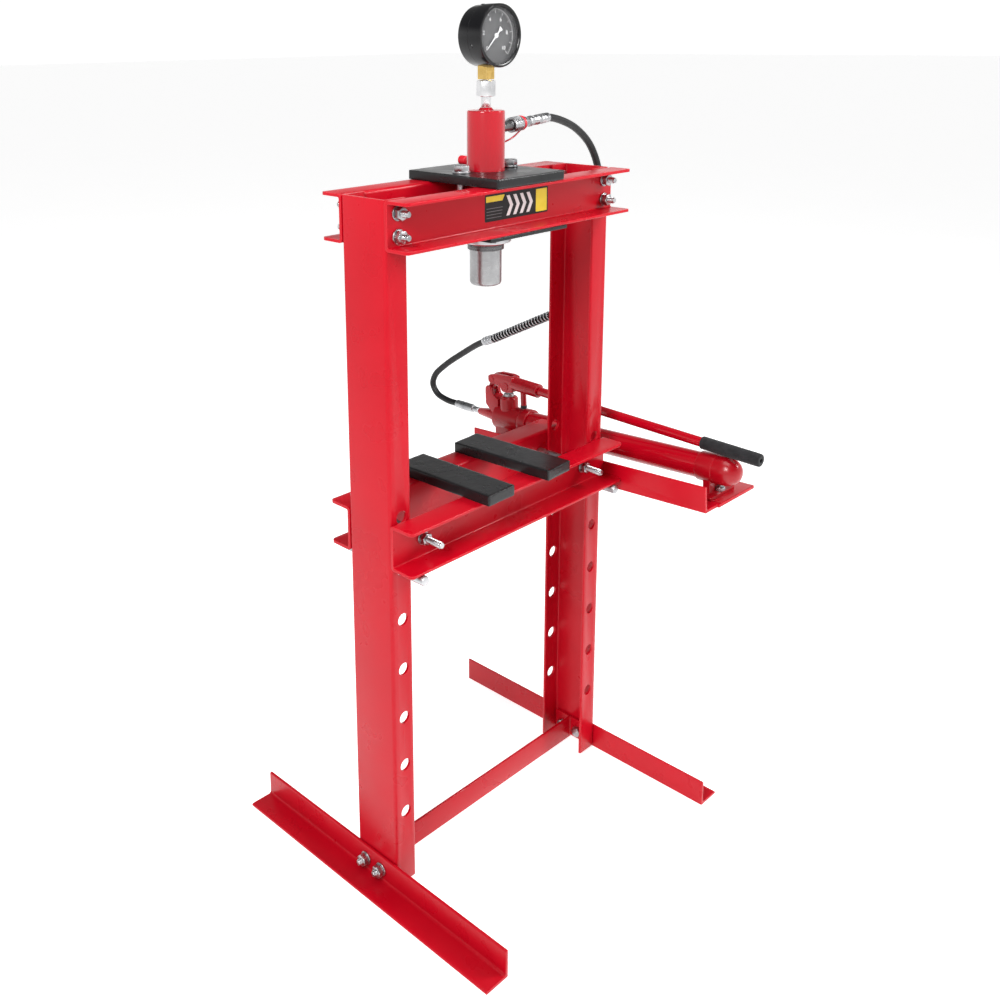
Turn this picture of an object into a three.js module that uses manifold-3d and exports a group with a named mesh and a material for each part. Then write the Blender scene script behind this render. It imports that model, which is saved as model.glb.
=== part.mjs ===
// Hydraulic shop press: bolted H-frame, cylinder with ram and gauge, movable bed, hand pump and hose.
// Millimetres. +X runs along the beams towards the pump, -Y is the front, +Z is up, the floor is z = 0.
// Everything is drawn about the ram's axis, and piece() then moves it onto the middle of its footprint.

import * as THREE from 'three';
import { mergeVertices } from 'three/addons/utils/BufferGeometryUtils.js';
import Module from 'manifold-3d';

const wasm = await Module();
wasm.setup();

// ---- driving dimensions ------------------------------------------------------------------------
const AXIS_OFFSET_X = 59;        // the ram's axis stands this far to the left of the footprint's middle
const GAP = 0.3;                 // clearance between two pieces that touch
const PLATE_T = 5;               // thickness of all channel and angle walls

const HALF_WIDTH = 280;          // ram axis to the outer face of an upright's web
const CHANNEL_DEPTH = 100;       // uprights, front to back
const UPRIGHT_FLANGE = 45;
const FRAME_TOP = 1208;
const UPRIGHT_FOOT = 6;          // the uprights end just above the floor
const BEAM_HEIGHT = 78;
const BEAM_FLANGE = 50;
const BEAM_BACK = CHANNEL_DEPTH / 2 + GAP;

const PIN_HOLE_R = 11;
const PIN_HOLE_X = 255;
const PIN_HOLE_FIRST = 144;
const PIN_HOLE_PITCH = 91;
const PIN_HOLE_COUNT = 7;
const BED_LEVEL = 5;             // the hole, counted from the bottom as 0, that holds the bed pins
const BED_PIN_R = 8.5;
const BED_PIN_HALF = 105;
const BED_PIN_Z = PIN_HOLE_FIRST + PIN_HOLE_PITCH * BED_LEVEL - PIN_HOLE_R + BED_PIN_R + GAP;
const BED_Z = BED_PIN_Z + BED_PIN_R + GAP;

const BEAM_BOLT_X = 258;
const BEAM_BOLT_Z = [1151, 1187];
const BED_BOLT_X = 213;

const FOOT_HALF = 306;
const FOOT_LEG = 50;
const FOOT_BOLT_Y = [-15.5, 23.5];
const FOOT_BOLT_Z = 25;
const TIE_BAR_Y = [4, 9];
const TIE_BAR_Z = [3, 49];

const CYLINDER_R = 32;
const CYLINDER_TOP = 1324.5;
const BORE_R = 28;
const BORE_TOP = 1300;
const RAM_R = 27.5;
const RAM_BOTTOM = 1026.5;
const RAM_TOP = 1285;
const RAM_HOLLOW_R = 18;
const TOP_PLATE = { x: 84, y: 103, z0: FRAME_TOP + GAP, t: 16 };
const LOWER_PLATE = { x: 97, y: 100, z1: FRAME_TOP - BEAM_HEIGHT - GAP, t: 6 };
const PLATE_BOLT_X = 60;

const GAUGE_Z = 1445.6;
const GAUGE_R = 51.3;
const GAUGE_FRONT = -33;
const GAUGE_BACK = 20;

const PORT_Z = 1290.6;           // where the coupler's line meets the ram's axis
const PORT_DIRECTION = new THREE.Vector3(1, 0.12, 0.05).normalize();
const HOSE_R = 7;

const PUMP_TILT = 3;             // degrees, front end up
const PUMP_ORIGIN = [HALF_WIDTH + GAP, 0, 580.9];
const PUMP_X = 86;               // pump axis out from the upright's web
const PUMP_Z = 54.5;             // pump axis above the underside of its tray
const BRACKET_BOLTS = [[-25, 41], [25, 41]];   // y, z in the tray's own frame
const PUMP_BOLTS = [[95, -257]];               // x, y in the tray's own frame
const PLUNGER_Y = 259;
const LINK_PIN = [306.7, 118.3];
const HANDLE_PIN = [297, 140.8];
const PLUNGER_PIN_Z = 128.8;
const FORK_HOLE_R = 8.2;         // clearance in the fork round the plunger's pin, for the link's swing
const HANDLE_FRONT = [-344, 90.5];
const HANDLE_REAR = [238, 136.1];

// ---- materials ---------------------------------------------------------------------------------
const finish = (color, roughness, metalness) => ({ color, roughness, metalness });
const RED = finish(0xc80a14, 0.3, 0.1);
const BLACK = finish(0x1b1c1e, 0.5, 0.2);
const ZINC = finish(0xb9bcc0, 0.35, 0.9);
const STEEL = finish(0xa8abae, 0.25, 1.0);
const BRASS = finish(0xb08d46, 0.3, 0.9);
const FOAM = finish(0x3a3b3e, 0.9, 0.0);
const RUBBER = finish(0x202224, 0.6, 0.0);
const CAP_RED = finish(0xd01522, 0.45, 0.0);
const DIAL = finish(0x3c3d40, 0.6, 0.0);
const WHITE = finish(0xf0f0f0, 0.5, 0.0);
const GLASS = finish(0xdfe6ea, 0.05, 0.0);

// ---- geometry helpers --------------------------------------------------------------------------
function solid(geometry) {
  geometry.deleteAttribute('normal');
  geometry.deleteAttribute('uv');
  const g = mergeVertices(geometry, 1e-4);
  const position = Float32Array.from(g.attributes.position.array);
  const kept = [];
  const index = g.index.array;
  for (let i = 0; i < index.length; i += 3) {
    const [a, b, c] = [index[i], index[i + 1], index[i + 2]];
    if (a !== b && b !== c && a !== c) kept.push(a, b, c);
  }
  const triangles = Uint32Array.from(kept);
  return new wasm.Manifold(new wasm.Mesh({ numProp: 3, vertProperties: position, triVerts: triangles }));
}

function box(x0, x1, y0, y1, z0, z1) {
  const g = new THREE.BoxGeometry(x1 - x0, y1 - y0, z1 - z0);
  g.translate((x0 + x1) / 2, (y0 + y1) / 2, (z0 + z1) / 2);
  return solid(g);
}

// A round or, with six sides, hexagonal bar on +Z from z0 to z1.
function bar(r, z0, z1, sides = 20, rTop = r) {
  const g = new THREE.CylinderGeometry(rTop, r, z1 - z0, sides);
  g.rotateX(Math.PI / 2);
  g.translate(0, 0, (z0 + z1) / 2);
  return solid(g);
}

// A turned piece on +Z from [radius, z] pairs that run from low z to high z on the outside.
function turned(profile, sides = 24) {
  const g = new THREE.LatheGeometry(profile.map(([r, z]) => new THREE.Vector2(r, z)), sides);
  g.rotateX(Math.PI / 2);
  return solid(g);
}

// A turned ring: a closed profile that never touches the axis.
function ring(profile, sides = 24) {
  return turned([...profile, profile[0]], sides);
}

// Corner list [x, y, radius] to a polygon with rounded corners.
function rounded(corners, steps = 3) {
  const points = [];
  corners.forEach(([x, y, r], i) => {
    const before = corners[(i + corners.length - 1) % corners.length];
    const after = corners[(i + 1) % corners.length];
    const at = new THREE.Vector2(x, y);
    if (!r) {
      points.push(at);
      return;
    }
    const a = new THREE.Vector2(before[0], before[1]).sub(at).normalize();
    const b = new THREE.Vector2(after[0], after[1]).sub(at).normalize();
    const half = Math.acos(THREE.MathUtils.clamp(a.dot(b), -1, 1)) / 2;
    const centre = a.clone().add(b).normalize().multiplyScalar(r / Math.sin(half)).add(at);
    const from = a.multiplyScalar(r / Math.tan(half)).add(at).sub(centre);
    const to = b.multiplyScalar(r / Math.tan(half)).add(at).sub(centre);
    const turn = Math.atan2(from.x * to.y - from.y * to.x, from.dot(to));
    for (let k = 0; k <= steps; k += 1) {
      points.push(from.clone().rotateAround(new THREE.Vector2(), (turn * k) / steps).add(centre));
    }
  });
  return points;
}

// A polygon in XY pulled up from z0 to z1.
function pulled(points, z0, z1) {
  const g = new THREE.ExtrudeGeometry(new THREE.Shape(points), { depth: z1 - z0, bevelEnabled: false });
  g.translate(0, 0, z0);
  return solid(g);
}

const acrossX = (m) => m.rotate([90, 0, 90]);      // local (a, b, c) becomes (y, z, x)
const toPlusX = (m) => m.rotate([0, 90, 0]);
const toPlusY = (m) => m.rotate([-90, 0, 0]);
const toMinusY = (m) => m.rotate([90, 0, 0]);

// Turns +Z onto a direction, then moves to a point.
function aimed(m, direction, at) {
  const d = direction.clone().normalize();
  const tilt = THREE.MathUtils.radToDeg(Math.acos(d.z));
  const heading = THREE.MathUtils.radToDeg(Math.atan2(d.y, d.x));
  return m.rotate([0, tilt, 0]).rotate([0, 0, heading]).translate(at);
}

function tube(curve, r, steps, sides) {
  const circle = [];
  for (let k = 0; k < sides; k += 1) {
    const a = (2 * Math.PI * k) / sides;
    circle.push(new THREE.Vector2(r * Math.cos(a), r * Math.sin(a)));
  }
  return solid(new THREE.ExtrudeGeometry(new THREE.Shape(circle), { steps, extrudePath: curve }));
}

const union = (...list) => list.reduce((a, b) => a.add(b));
const cut = (from, ...list) => list.reduce((a, b) => a.subtract(b), from);

// C section: back on the x axis, flanges towards +y, rounded at the two heels.
function channelSection(depth, flange) {
  const h = depth / 2;
  return rounded([
    [-h, 0, 6], [h, 0, 6], [h, flange, 2], [h - PLATE_T, flange, 0],
    [h - PLATE_T, PLATE_T, 3], [-h + PLATE_T, PLATE_T, 3], [-h + PLATE_T, flange, 0], [-h, flange, 2],
  ]);
}

// L section: heel at the origin, one leg up y, the other out x.
function angleSection(leg) {
  return rounded([
    [0, 0, 1.5], [leg, 0, 0], [leg, PLATE_T, 3], [PLATE_T, PLATE_T, 4], [PLATE_T, leg, 3], [0, leg, 0],
  ], 2);
}

// Bolt, washer and nut on +Z. The head bears at z = 0 and the clamped pieces end at z = grip.
function fastener({ r = 6, flats = 19, head = 8, washerR = 12, grip, tail, ...washers }) {
  const { nutWasher = true, headWasher = 0 } = washers;
  const corner = flats / 2 / Math.cos(Math.PI / 6);
  const nutFrom = grip + GAP + (nutWasher ? 2.5 : 0);
  const parts = [
    bar(corner, -GAP - headWasher - head, -GAP - headWasher, 6),
    bar(r - 0.1, -GAP - headWasher - 1, nutFrom + 0.8 * 2 * r + tail, 8),
    bar(corner, nutFrom, nutFrom + 0.85 * 2 * r, 6),
  ];
  if (nutWasher) parts.push(bar(washerR, grip + GAP, nutFrom + 0.1, 12));
  if (headWasher) parts.push(bar(washerR, -GAP - headWasher - 0.1, -GAP, 12));
  return union(...parts);
}

const inPump = (m) => m.rotate([-PUMP_TILT, 0, 0]).translate(PUMP_ORIGIN);

// ---- frame -------------------------------------------------------------------------------------
function upright(side) {
  const section = channelSection(CHANNEL_DEPTH, UPRIGHT_FLANGE);
  const outline = section.map((p) => new THREE.Vector2(p.y - HALF_WIDTH, p.x));
  let m = pulled(outline, UPRIGHT_FOOT, FRAME_TOP);
  for (let k = 0; k < PIN_HOLE_COUNT; k += 1) {
    const z = PIN_HOLE_FIRST + PIN_HOLE_PITCH * k;
    m = m.subtract(toPlusY(bar(PIN_HOLE_R, -60, 60, 12)).translate([-PIN_HOLE_X, 0, z]));
  }
  for (const z of BEAM_BOLT_Z) {
    m = m.subtract(toPlusY(bar(6.8, -60, 60, 8)).translate([-BEAM_BOLT_X, 0, z]));
  }
  for (const y of FOOT_BOLT_Y) {
    m = m.subtract(toPlusX(bar(6.8, -290, -265, 8)).translate([0, y, FOOT_BOLT_Z]));
  }
  if (side < 0) return m;
  m = m.mirror([1, 0, 0]);
  for (const [y, z] of BRACKET_BOLTS) {
    m = m.subtract(inPump(toPlusX(bar(7.4, -20, 0, 8)).translate([0, y, z])));
  }
  return m;
}

function foot(side) {
  const length = 2 * FOOT_HALF;
  const outline = angleSection(FOOT_LEG);
  let m = toPlusY(pulled(outline, 0, length)).mirror([0, 0, 1]);
  m = m.translate([HALF_WIDTH + GAP, -FOOT_HALF, 0]);
  for (const y of FOOT_BOLT_Y) {
    m = m.subtract(toPlusX(bar(6.8, 270, 295, 8)).translate([0, y, FOOT_BOLT_Z]));
  }
  return side < 0 ? m.mirror([1, 0, 0]) : m;
}

function baseTieBar() {
  const inside = HALF_WIDTH - PLATE_T - GAP;
  const [y0, y1] = TIE_BAR_Y;
  const [z0, z1] = TIE_BAR_Z;
  let m = box(-inside + 2, inside - 2, y0, y1, z0, z1);
  for (const s of [-1, 1]) {
    const [a, b] = s < 0 ? [-inside, -inside + PLATE_T] : [inside - PLATE_T, inside];
    m = m.add(box(a, b, -34, 42, z0 + 4, z1));
    for (const y of FOOT_BOLT_Y) {
      m = m.subtract(toPlusX(bar(6.8, a - 3, b + 3, 8)).translate([0, y, FOOT_BOLT_Z]));
    }
  }
  return m;
}

function footBolt(side, y) {
  const grip = 3 * PLATE_T + 2 * GAP;
  const m = toPlusX(fastener({ grip, tail: 7 })).translate([HALF_WIDTH - 2 * PLATE_T - GAP, y, FOOT_BOLT_Z]);
  return side < 0 ? m.mirror([1, 0, 0]) : m;
}

// A horizontal channel whose back faces the uprights; side -1 is the front one.
function beam(side, z0, boltX, boltZ) {
  const section = channelSection(BEAM_HEIGHT, BEAM_FLANGE);
  const outline = section.map((p) => new THREE.Vector2(p.y + BEAM_BACK, p.x + z0 + BEAM_HEIGHT / 2));
  const plan = rounded([
    [-HALF_WIDTH, BEAM_BACK - 1, 0], [HALF_WIDTH, BEAM_BACK - 1, 0],
    [HALF_WIDTH, BEAM_BACK + BEAM_FLANGE, 9], [-HALF_WIDTH, BEAM_BACK + BEAM_FLANGE, 9],
  ], 3);
  let m = acrossX(pulled(outline, -HALF_WIDTH, HALF_WIDTH));
  m = m.intersect(pulled(plan, z0 - 1, z0 + BEAM_HEIGHT + 1));
  for (const x of [-boltX, boltX]) {
    for (const z of boltZ) {
      m = m.subtract(toPlusY(bar(6.8, 40, 65, 8)).translate([x, 0, z]));
    }
  }
  return side < 0 ? m.mirror([0, 1, 0]) : m;
}

function beamBolt(sideX, sideY, z) {
  const start = CHANNEL_DEPTH / 2 - PLATE_T;
  let m = fastener({ grip: 2 * PLATE_T + GAP, tail: 13 });
  m = toPlusY(m).translate([sideX * BEAM_BOLT_X, start, z]);
  return sideY < 0 ? m.mirror([0, 1, 0]) : m;
}

// ---- cylinder and ram --------------------------------------------------------------------------
function cylinderTopPlate() {
  const { x, y, z0, t } = TOP_PLATE;
  const plan = rounded([[-x, -y, 3], [x, -y, 3], [x, y, 3], [-x, y, 3]], 2);
  const m = cut(pulled(plan, z0, z0 + t), bar(CYLINDER_R + 0.5, z0 - 1, z0 + t + 1, 24));
  return plateBoltHoles(m, z0, z0 + t);
}

function cylinderLowerPlate() {
  const { x, y, z1, t } = LOWER_PLATE;
  const m = cut(box(-x, x, -y, y, z1 - t, z1), bar(CYLINDER_R + 0.5, z1 - t - 1, z1 + 1, 24));
  return plateBoltHoles(m, z1 - t, z1);
}

function plateBoltHoles(m, z0, z1) {
  const hole = bar(9, z0 - 1, z1 + 1, 8);
  return cut(m, hole.translate([-PLATE_BOLT_X, 0, 0]), hole.translate([PLATE_BOLT_X, 0, 0]));
}

function plateBolt(side) {
  const top = TOP_PLATE.z0 + TOP_PLATE.t;
  const grip = top - (LOWER_PLATE.z1 - LOWER_PLATE.t);
  const size = { r: 8, flats: 24, head: 10, washerR: 15 };
  const m = fastener({ ...size, grip, tail: 5, nutWasher: false, headWasher: 3 });
  return m.rotate([180, 0, 0]).translate([side * PLATE_BOLT_X, 0, top]);
}

function cylinderBarrel() {
  const m = turned([
    [0, BORE_TOP], [BORE_R, BORE_TOP], [BORE_R, 1089], [31.5, 1089], [31.5, 1097], [30.4, 1098.2],
    [30.4, 1100], [CYLINDER_R, 1101.6], [CYLINDER_R, CYLINDER_TOP - 1.5], [CYLINDER_R - 1.5, CYLINDER_TOP],
    [13, CYLINDER_TOP],
    [9, CYLINDER_TOP + 4.5], [6.4, CYLINDER_TOP + 4.5], [6.4, 1313], [0, 1313],
  ], 28);
  const port = aimed(bar(8.4, 20, 45, 16), PORT_DIRECTION, [0, 0, PORT_Z]);
  return m.subtract(port);
}

function cylinderRingNut() {
  const top = LOWER_PLATE.z1 - LOWER_PLATE.t - GAP;
  const r = CYLINDER_R + 0.5;
  return ring([[r, top], [r, 1102], [42, 1102], [43.5, 1103.5], [43.5, top]], 28);
}

function ram() {
  return turned([
    [0, RAM_BOTTOM], [22, RAM_BOTTOM], [25.7, RAM_BOTTOM + 1.3], [RAM_R, RAM_BOTTOM + 5],
    [RAM_R, RAM_TOP], [RAM_HOLLOW_R, RAM_TOP], [RAM_HOLLOW_R, 1046], [0, 1046],
  ], 28);
}

function ramReturnSpring() {
  const [r, z0, z1, turns] = [12, 1048, 1298, 7];
  class Helix extends THREE.Curve {
    getPoint(t, p = new THREE.Vector3()) {
      const a = 2 * Math.PI * turns * t;
      return p.set(r * Math.cos(a), r * Math.sin(a), z0 + (z1 - z0) * t);
    }
  }
  return tube(new Helix(), 1.6, turns * 8, 4);
}

// ---- gauge -------------------------------------------------------------------------------------
function gaugeCase() {
  const half = (r, y) => [r, -y];
  const m = toMinusY(turned([
    half(0, GAUGE_BACK), half(45, GAUGE_BACK), half(49, GAUGE_BACK - 2), half(50, GAUGE_BACK - 6),
    half(50, -4),
    half(GAUGE_R, -5), half(GAUGE_R, GAUGE_FRONT + 1.5), half(GAUGE_R - 1.5, GAUGE_FRONT),
    half(46.5, GAUGE_FRONT), half(45.5, -31), half(45.5, -30.3), half(48, -30.3), half(48, GAUGE_BACK - 3),
    half(0, GAUGE_BACK - 3),
  ], 28)).translate([0, 0, GAUGE_Z]);
  return m.subtract(box(-10.6, 10.6, -10.6, 10.6, GAUGE_Z - 55, GAUGE_Z - 40));
}

function gaugeDisc(r, y0, y1, hole) {
  const m = toPlusY(bar(r, y0, y1, 28));
  const bored = hole ? m.subtract(toPlusY(bar(hole, y0 - 1, y1 + 1, 12))) : m;
  return bored.translate([0, 0, GAUGE_Z]);
}

function gaugeNeedle() {
  const blade = rounded([[0, -1.6, 0], [33, -0.5, 0], [33, 0.5, 0], [0, 1.6, 0], [-10, 1.4, 0],
    [-17, 5, 0], [-17, -5, 0], [-10, -1.4, 0]]);
  const m = union(pulled(blade, -0.4, 0.4), bar(4, -1, 1.4, 16), bar(1.5, -14, 1, 10));
  return toMinusY(m).rotate([0, 135, 0]).translate([0, -23, GAUGE_Z]);
}

// The brass block and the Bourdon tube soldered to it inside the case.
function gaugeSocket() {
  class Arc extends THREE.Curve {
    getPoint(t, p = new THREE.Vector3()) {
      const a = THREE.MathUtils.degToRad(-90 + 235 * t);
      return p.set(33 * Math.cos(a), 6, GAUGE_Z + 33 * Math.sin(a));
    }
  }
  return union(
    box(-10, 10, -10, 10, 1375, 1414),
    bar(5.5, 1360, 1376, 12),
    tube(new Arc(), 3.2, 14, 6),
  );
}

function gaugeAdapter() {
  const m = union(
    bar(8, CYLINDER_TOP + 4.5 + GAP, 1348, 20),
    bar(16, 1347, 1373.5, 6).rotate([0, 0, 14]),
    bar(5.8, 1316, CYLINDER_TOP + 6, 12),
  );
  return m.subtract(bar(6.2, 1358, 1380, 12));
}

// ---- coupler and hose --------------------------------------------------------------------------
const onPort = (m) => aimed(m, PORT_DIRECTION, [0, 0, PORT_Z]);

function couplerNipple() {
  return onPort(turned([
    [0, 28.9], [8, 28.9], [8, 34], [11, 34.5], [11, 44], [9.4, 45], [9.4, 71.6], [5.5, 71.6], [5.5, 84],
    [0, 84],
  ], 16));
}

function couplerCollar() {
  return onPort(ring([[10.2, 72.6], [12.4, 72.6], [13.2, 74], [13.2, 98.5], [12.4, 100], [10.2, 100]], 20));
}

// The ring round the coupler, its strap, and the plug that hangs behind the cylinder.
function couplerDustCap() {
  const band = onPort(ring([[9.4, 100.5], [12.6, 100.5], [13.2, 104], [12.6, 107.3], [9.4, 107.3]], 16));
  const strap = tube(new THREE.CatmullRomCurve3([
    new THREE.Vector3(103.2, 12.4, 1283.5),
    new THREE.Vector3(84, 12, 1273),
    new THREE.Vector3(64, 14, 1266),
    new THREE.Vector3(52, 34, 1256),
    new THREE.Vector3(40, 60, 1245),
    new THREE.Vector3(28, 72, 1236),
  ]), 1.5, 12, 5);
  const plug = toPlusY(bar(8, 0, 16, 12)).translate([24, 66, 1233.5]);
  return union(band, strap, plug);
}

function hoseTopFitting() {
  const body = turned([
    [0, 84.6], [5.2, 84.6], [5.2, 86], [9.6, 86], [9.6, 99.8], [9, 100], [9, 108], [11, 108.2], [11, 113],
    [8.6, 121.8], [8.6, 128], [0, 128],
  ], 16);
  const hex = bar(9.4, 127, 140, 6);
  const ferrule = turned([
    [0, 139], [8, 139], [8.6, 142], [9.2, 160], [8.8, 190.4], [7.6, 190.4], [7.6, 166], [0, 166],
  ], 16);
  return onPort(union(body, hex, ferrule));
}

const portPoint = (s) => PORT_DIRECTION.clone().multiplyScalar(s).add(new THREE.Vector3(0, 0, PORT_Z));

// Out of the ferrule, over the beam's end, down outside the right upright, and round to the pump's rear port.
const HOSE_ROUTE = [
  [237, 31, 1292], [298, 40, 1271], [352, 47, 1234], [377, 46, 1185], [373, 40, 1110], [357, 36, 1020],
  [337, 50, 948], [327.3, 96, 900], [330, 126, 885], [337.5, 205.5, 845], [345, 285, 805],
  [353, 340, 780], [363, 401, 743], [366, 456, 705], [366, 492, 672], [366, 500, 648], [366, 486, 628],
  [366, 455, 619], [366, 424, 618], [366, 390, 618],
];
const HOSE_CURVE = new THREE.CatmullRomCurve3(
  [portPoint(168), portPoint(190), ...HOSE_ROUTE.map((p) => new THREE.Vector3(...p))],
  false,
  'centripetal',
);

function hose() {
  return tube(HOSE_CURVE, HOSE_R, 60, 8);
}

// Coil spring that keeps the hose from kinking, with its crimped sleeve at the lower end.
function hoseSpringGuard() {
  const slice = (a, b, outer) => {
    const points = [];
    for (let k = 0; k <= 8; k += 1) points.push(HOSE_CURVE.getPoint(a + ((b - a) * k) / 8));
    return tube(new THREE.CatmullRomCurve3(points), outer, 8, 8);
  };
  const a = nearest(new THREE.Vector3(329.5, 120, 888));
  const c = nearest(new THREE.Vector3(350, 322, 788));
  const b = c - 0.012;
  const body = union(slice(a, b + 0.001, 9.2), slice(b, c, 10));
  return body.subtract(slice(a - 0.01, c + 0.01, 8.1));
}

// Share of the hose's route at which it passes closest to a point.
function nearest(point) {
  let [best, at] = [Infinity, 0];
  for (let k = 0; k <= 2000; k += 1) {
    const d = HOSE_CURVE.getPoint(k / 2000).distanceTo(point);
    if (d < best) [best, at] = [d, k / 2000];
  }
  return at;
}

function hoseEndFerrule() {
  const m = ring([[7.7, 0], [9, 0], [9.4, 26], [9.4, 44], [9, 49], [7.7, 49]], 16);
  const nose = turned([[0, -20.5], [5, -20.5], [6.4, -18], [6.4, -3], [9, -3], [9, 3], [8, 4], [0, 4]], 16);
  const piece = union(m, nose);
  return toPlusY(piece).translate([366, 372, 618]);
}

// ---- hand pump, drawn level in its tray's own frame ---------------------------------------------
function pumpBracket() {
  let m = toPlusY(pulled(angleSection(FOOT_LEG), 0, 570)).mirror([0, 0, 1]).translate([0, -284, 0]);
  const front = rounded([[40, -288, 0], [168, -288, 4], [168, -240, 4], [40, -240, 0]], 2);
  const rear = rounded([[40, 238, 0], [124, 238, 4], [124, 286, 4], [40, 286, 0]], 2);
  m = union(m, pulled(front, 0, PLATE_T), pulled(rear, 0, PLATE_T));
  for (const [y, z] of BRACKET_BOLTS) m = m.subtract(toPlusX(bar(7, -3, 10, 8)).translate([0, y, z]));
  for (const [x, y] of PUMP_BOLTS) m = m.subtract(bar(5.8, -5, 10, 8).translate([x, y, 0]));
  return inPump(m);
}

function bracketBolt(y, z) {
  const m = toPlusX(fastener({ grip: 2 * PLATE_T + GAP, tail: 5 })).translate([-PLATE_T - GAP, y, z]);
  return inPump(m);
}

function pumpFootBolt() {
  const [x, y] = PUMP_BOLTS[0];
  const m = fastener({ r: 5, flats: 17, head: 6.5, washerR: 10, grip: 2 * PLATE_T + GAP, tail: 4 });
  return inPump(m.rotate([180, 0, 0]).translate([x, y, 2 * PLATE_T + GAP]));
}

function pumpHead() {
  const alongY = (m) => toPlusY(m).translate([PUMP_X, 0, PUMP_Z]);
  const body = alongY(turned([
    [0, 195], [28.5, 195], [30, 196.5], [30, 214.5], [28.5, 216], [26.8, 216.6], [26.8, 218.4], [28, 219],
    [28, 287], [26, 289], [15, 289.5], [14, 300], [7.5, 348], [0, 348],
  ], 24));
  const boss = bar(20, PUMP_Z, 102, 20).translate([PUMP_X, PLUNGER_Y, 0]);
  const base = box(PUMP_X - 22, PUMP_X + 22, 240, 284, PLATE_T + GAP, PUMP_Z);
  const lug = rounded([[282, 58, 0], [300, 66, 6], [316, 82, 6], [316, 110, 0], [315, 124, 8], [299, 124, 8],
    [294, 104, 4], [280, 96, 0]], 2);
  const casting = union(body, boss, base, acrossX(pulled(lug, PUMP_X - 14, PUMP_X + 14)));
  const m = cut(
    casting,
    box(PUMP_X - 6.4, PUMP_X + 6.4, 286, 330, 104, 140),
    toPlusX(bar(4.6, PUMP_X - 20, PUMP_X + 20, 8)).translate([0, ...LINK_PIN]),
    bar(11.4, 62, 110, 16).translate([PUMP_X, PLUNGER_Y, 0]),
    alongY(bar(25.4, 190, 212, 24)),
    alongY(bar(7, 328, 355, 12)),
  );
  return inPump(m);
}

function pumpReservoir() {
  const shell = cut(bar(25, -222, 211, 24), bar(22, -212, 203, 16));
  const tank = toPlusY(shell).translate([PUMP_X, 0, PUMP_Z]);
  const oilWay = toPlusY(bar(4, 200, 215, 8)).translate([PUMP_X, 0, PUMP_Z]);
  return inPump(tank.subtract(oilWay));
}

function pumpEndCap() {
  const alongY = (m) => toMinusY(m).translate([PUMP_X, 0, PUMP_Z]);
  const shell = alongY(turned([
    [0, 222.6], [26.5, 222.6], [28, 224], [28, 272], [26.6, 283], [22.5, 293.5], [15, 301.5], [7, 304.8],
    [0, 305.5],
  ], 24));
  const foot = rounded([[45, -236, 2], [131, -236, 3], [131, -267, 3], [45, -267, 3]], 2);
  const base = union(
    pulled(foot, PLATE_T + GAP, 2 * PLATE_T + GAP),
    box(PUMP_X - 20, PUMP_X + 20, -252, -238, 2 * PLATE_T, PUMP_Z - 15),
  );
  const [x, y] = PUMP_BOLTS[0];
  const clear = union(bar(11.5, 2 * PLATE_T + GAP, 24, 8), bar(5.8, 0, 20, 8)).translate([x, y, 0]);
  return inPump(union(shell, base).subtract(clear));
}

function pumpPlunger() {
  const tongue = rounded([[-7, -24, 0], [7, -24, 0], [7, 0, 6.9], [7, 7, 6.9], [-7, 7, 6.9], [-7, 0, 0]], 3);
  const rod = bar(11, 78, 112, 16);
  const head = acrossX(pulled(tongue, -6, 6)).translate([0, 0, PLUNGER_PIN_Z]);
  const pin = toPlusX(bar(4, -15.5, 15.5, 10)).translate([0, 0, PLUNGER_PIN_Z]);
  return inPump(union(rod, head, pin).translate([PUMP_X, PLUNGER_Y, 0]));
}

function pumpLink() {
  const [a, b] = [LINK_PIN, HANDLE_PIN];
  const length = Math.hypot(b[0] - a[0], b[1] - a[1]);
  const end = length + 6.5;
  const outline = rounded([[-6.5, -6.5, 6.4], [6.5, -6.5, 6.4], [6.5, end, 6.4], [-6.5, end, 6.4]], 3);
  const tilt = THREE.MathUtils.radToDeg(Math.atan2(a[0] - b[0], b[1] - a[1]));
  const plate = acrossX(pulled(outline, -5.9, 5.9)).rotate([tilt, 0, 0]).translate([0, ...a]);
  const pins = [a, b].map((p) => toPlusX(bar(4.1, -15.5, 15.5, 8)).translate([0, ...p]));
  return inPump(union(plate, ...pins).translate([PUMP_X, 0, 0]));
}

// Puts a piece that points along -Y onto the handle's line, in the tray's frame, at x = 0.
function onHandle(m) {
  const [dy, dz] = [HANDLE_REAR[0] - HANDLE_FRONT[0], HANDLE_REAR[1] - HANDLE_FRONT[1]];
  const slope = THREE.MathUtils.radToDeg(Math.atan2(dz, dy));
  return toMinusY(m).rotate([slope, 0, 0]).translate([0, ...HANDLE_REAR]);
}

const onHandleLine = (m) => inPump(onHandle(m).translate([PUMP_X, 0, 0]));

// Fork, socket and stop post of the pump handle, one casting.
function handleSocket() {
  const side = rounded([
    [306, 133, 6], [306, 149, 6], [284, 154, 6], [252, 154, 6], [238, 151, 2], [238, 119, 2], [252, 117, 8],
    [266, 117, 8], [274, 130, 6],
  ], 2);
  const block = acrossX(pulled(side, -14, 14));
  const socket = onHandle(bar(15, -6, 66, 20));
  const post = bar(6.5, 85, 130, 10).translate([0, 217, 0]);
  let m = union(block, socket, post);
  m = cut(
    m,
    box(-6.4, 6.4, 246, 320, 100, 165),
    toPlusX(bar(4.6, -20, 20, 8)).translate([0, ...HANDLE_PIN]),
    toPlusX(bar(FORK_HOLE_R, -20, 20, 12)).translate([0, PLUNGER_Y, PLUNGER_PIN_Z]),
    onHandle(bar(9.9, 10, 70, 20)),
  );
  return inPump(m.translate([PUMP_X, 0, 0]));
}

function handleTube() {
  return onHandleLine(bar(9.5, 12, 578, 20));
}

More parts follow.
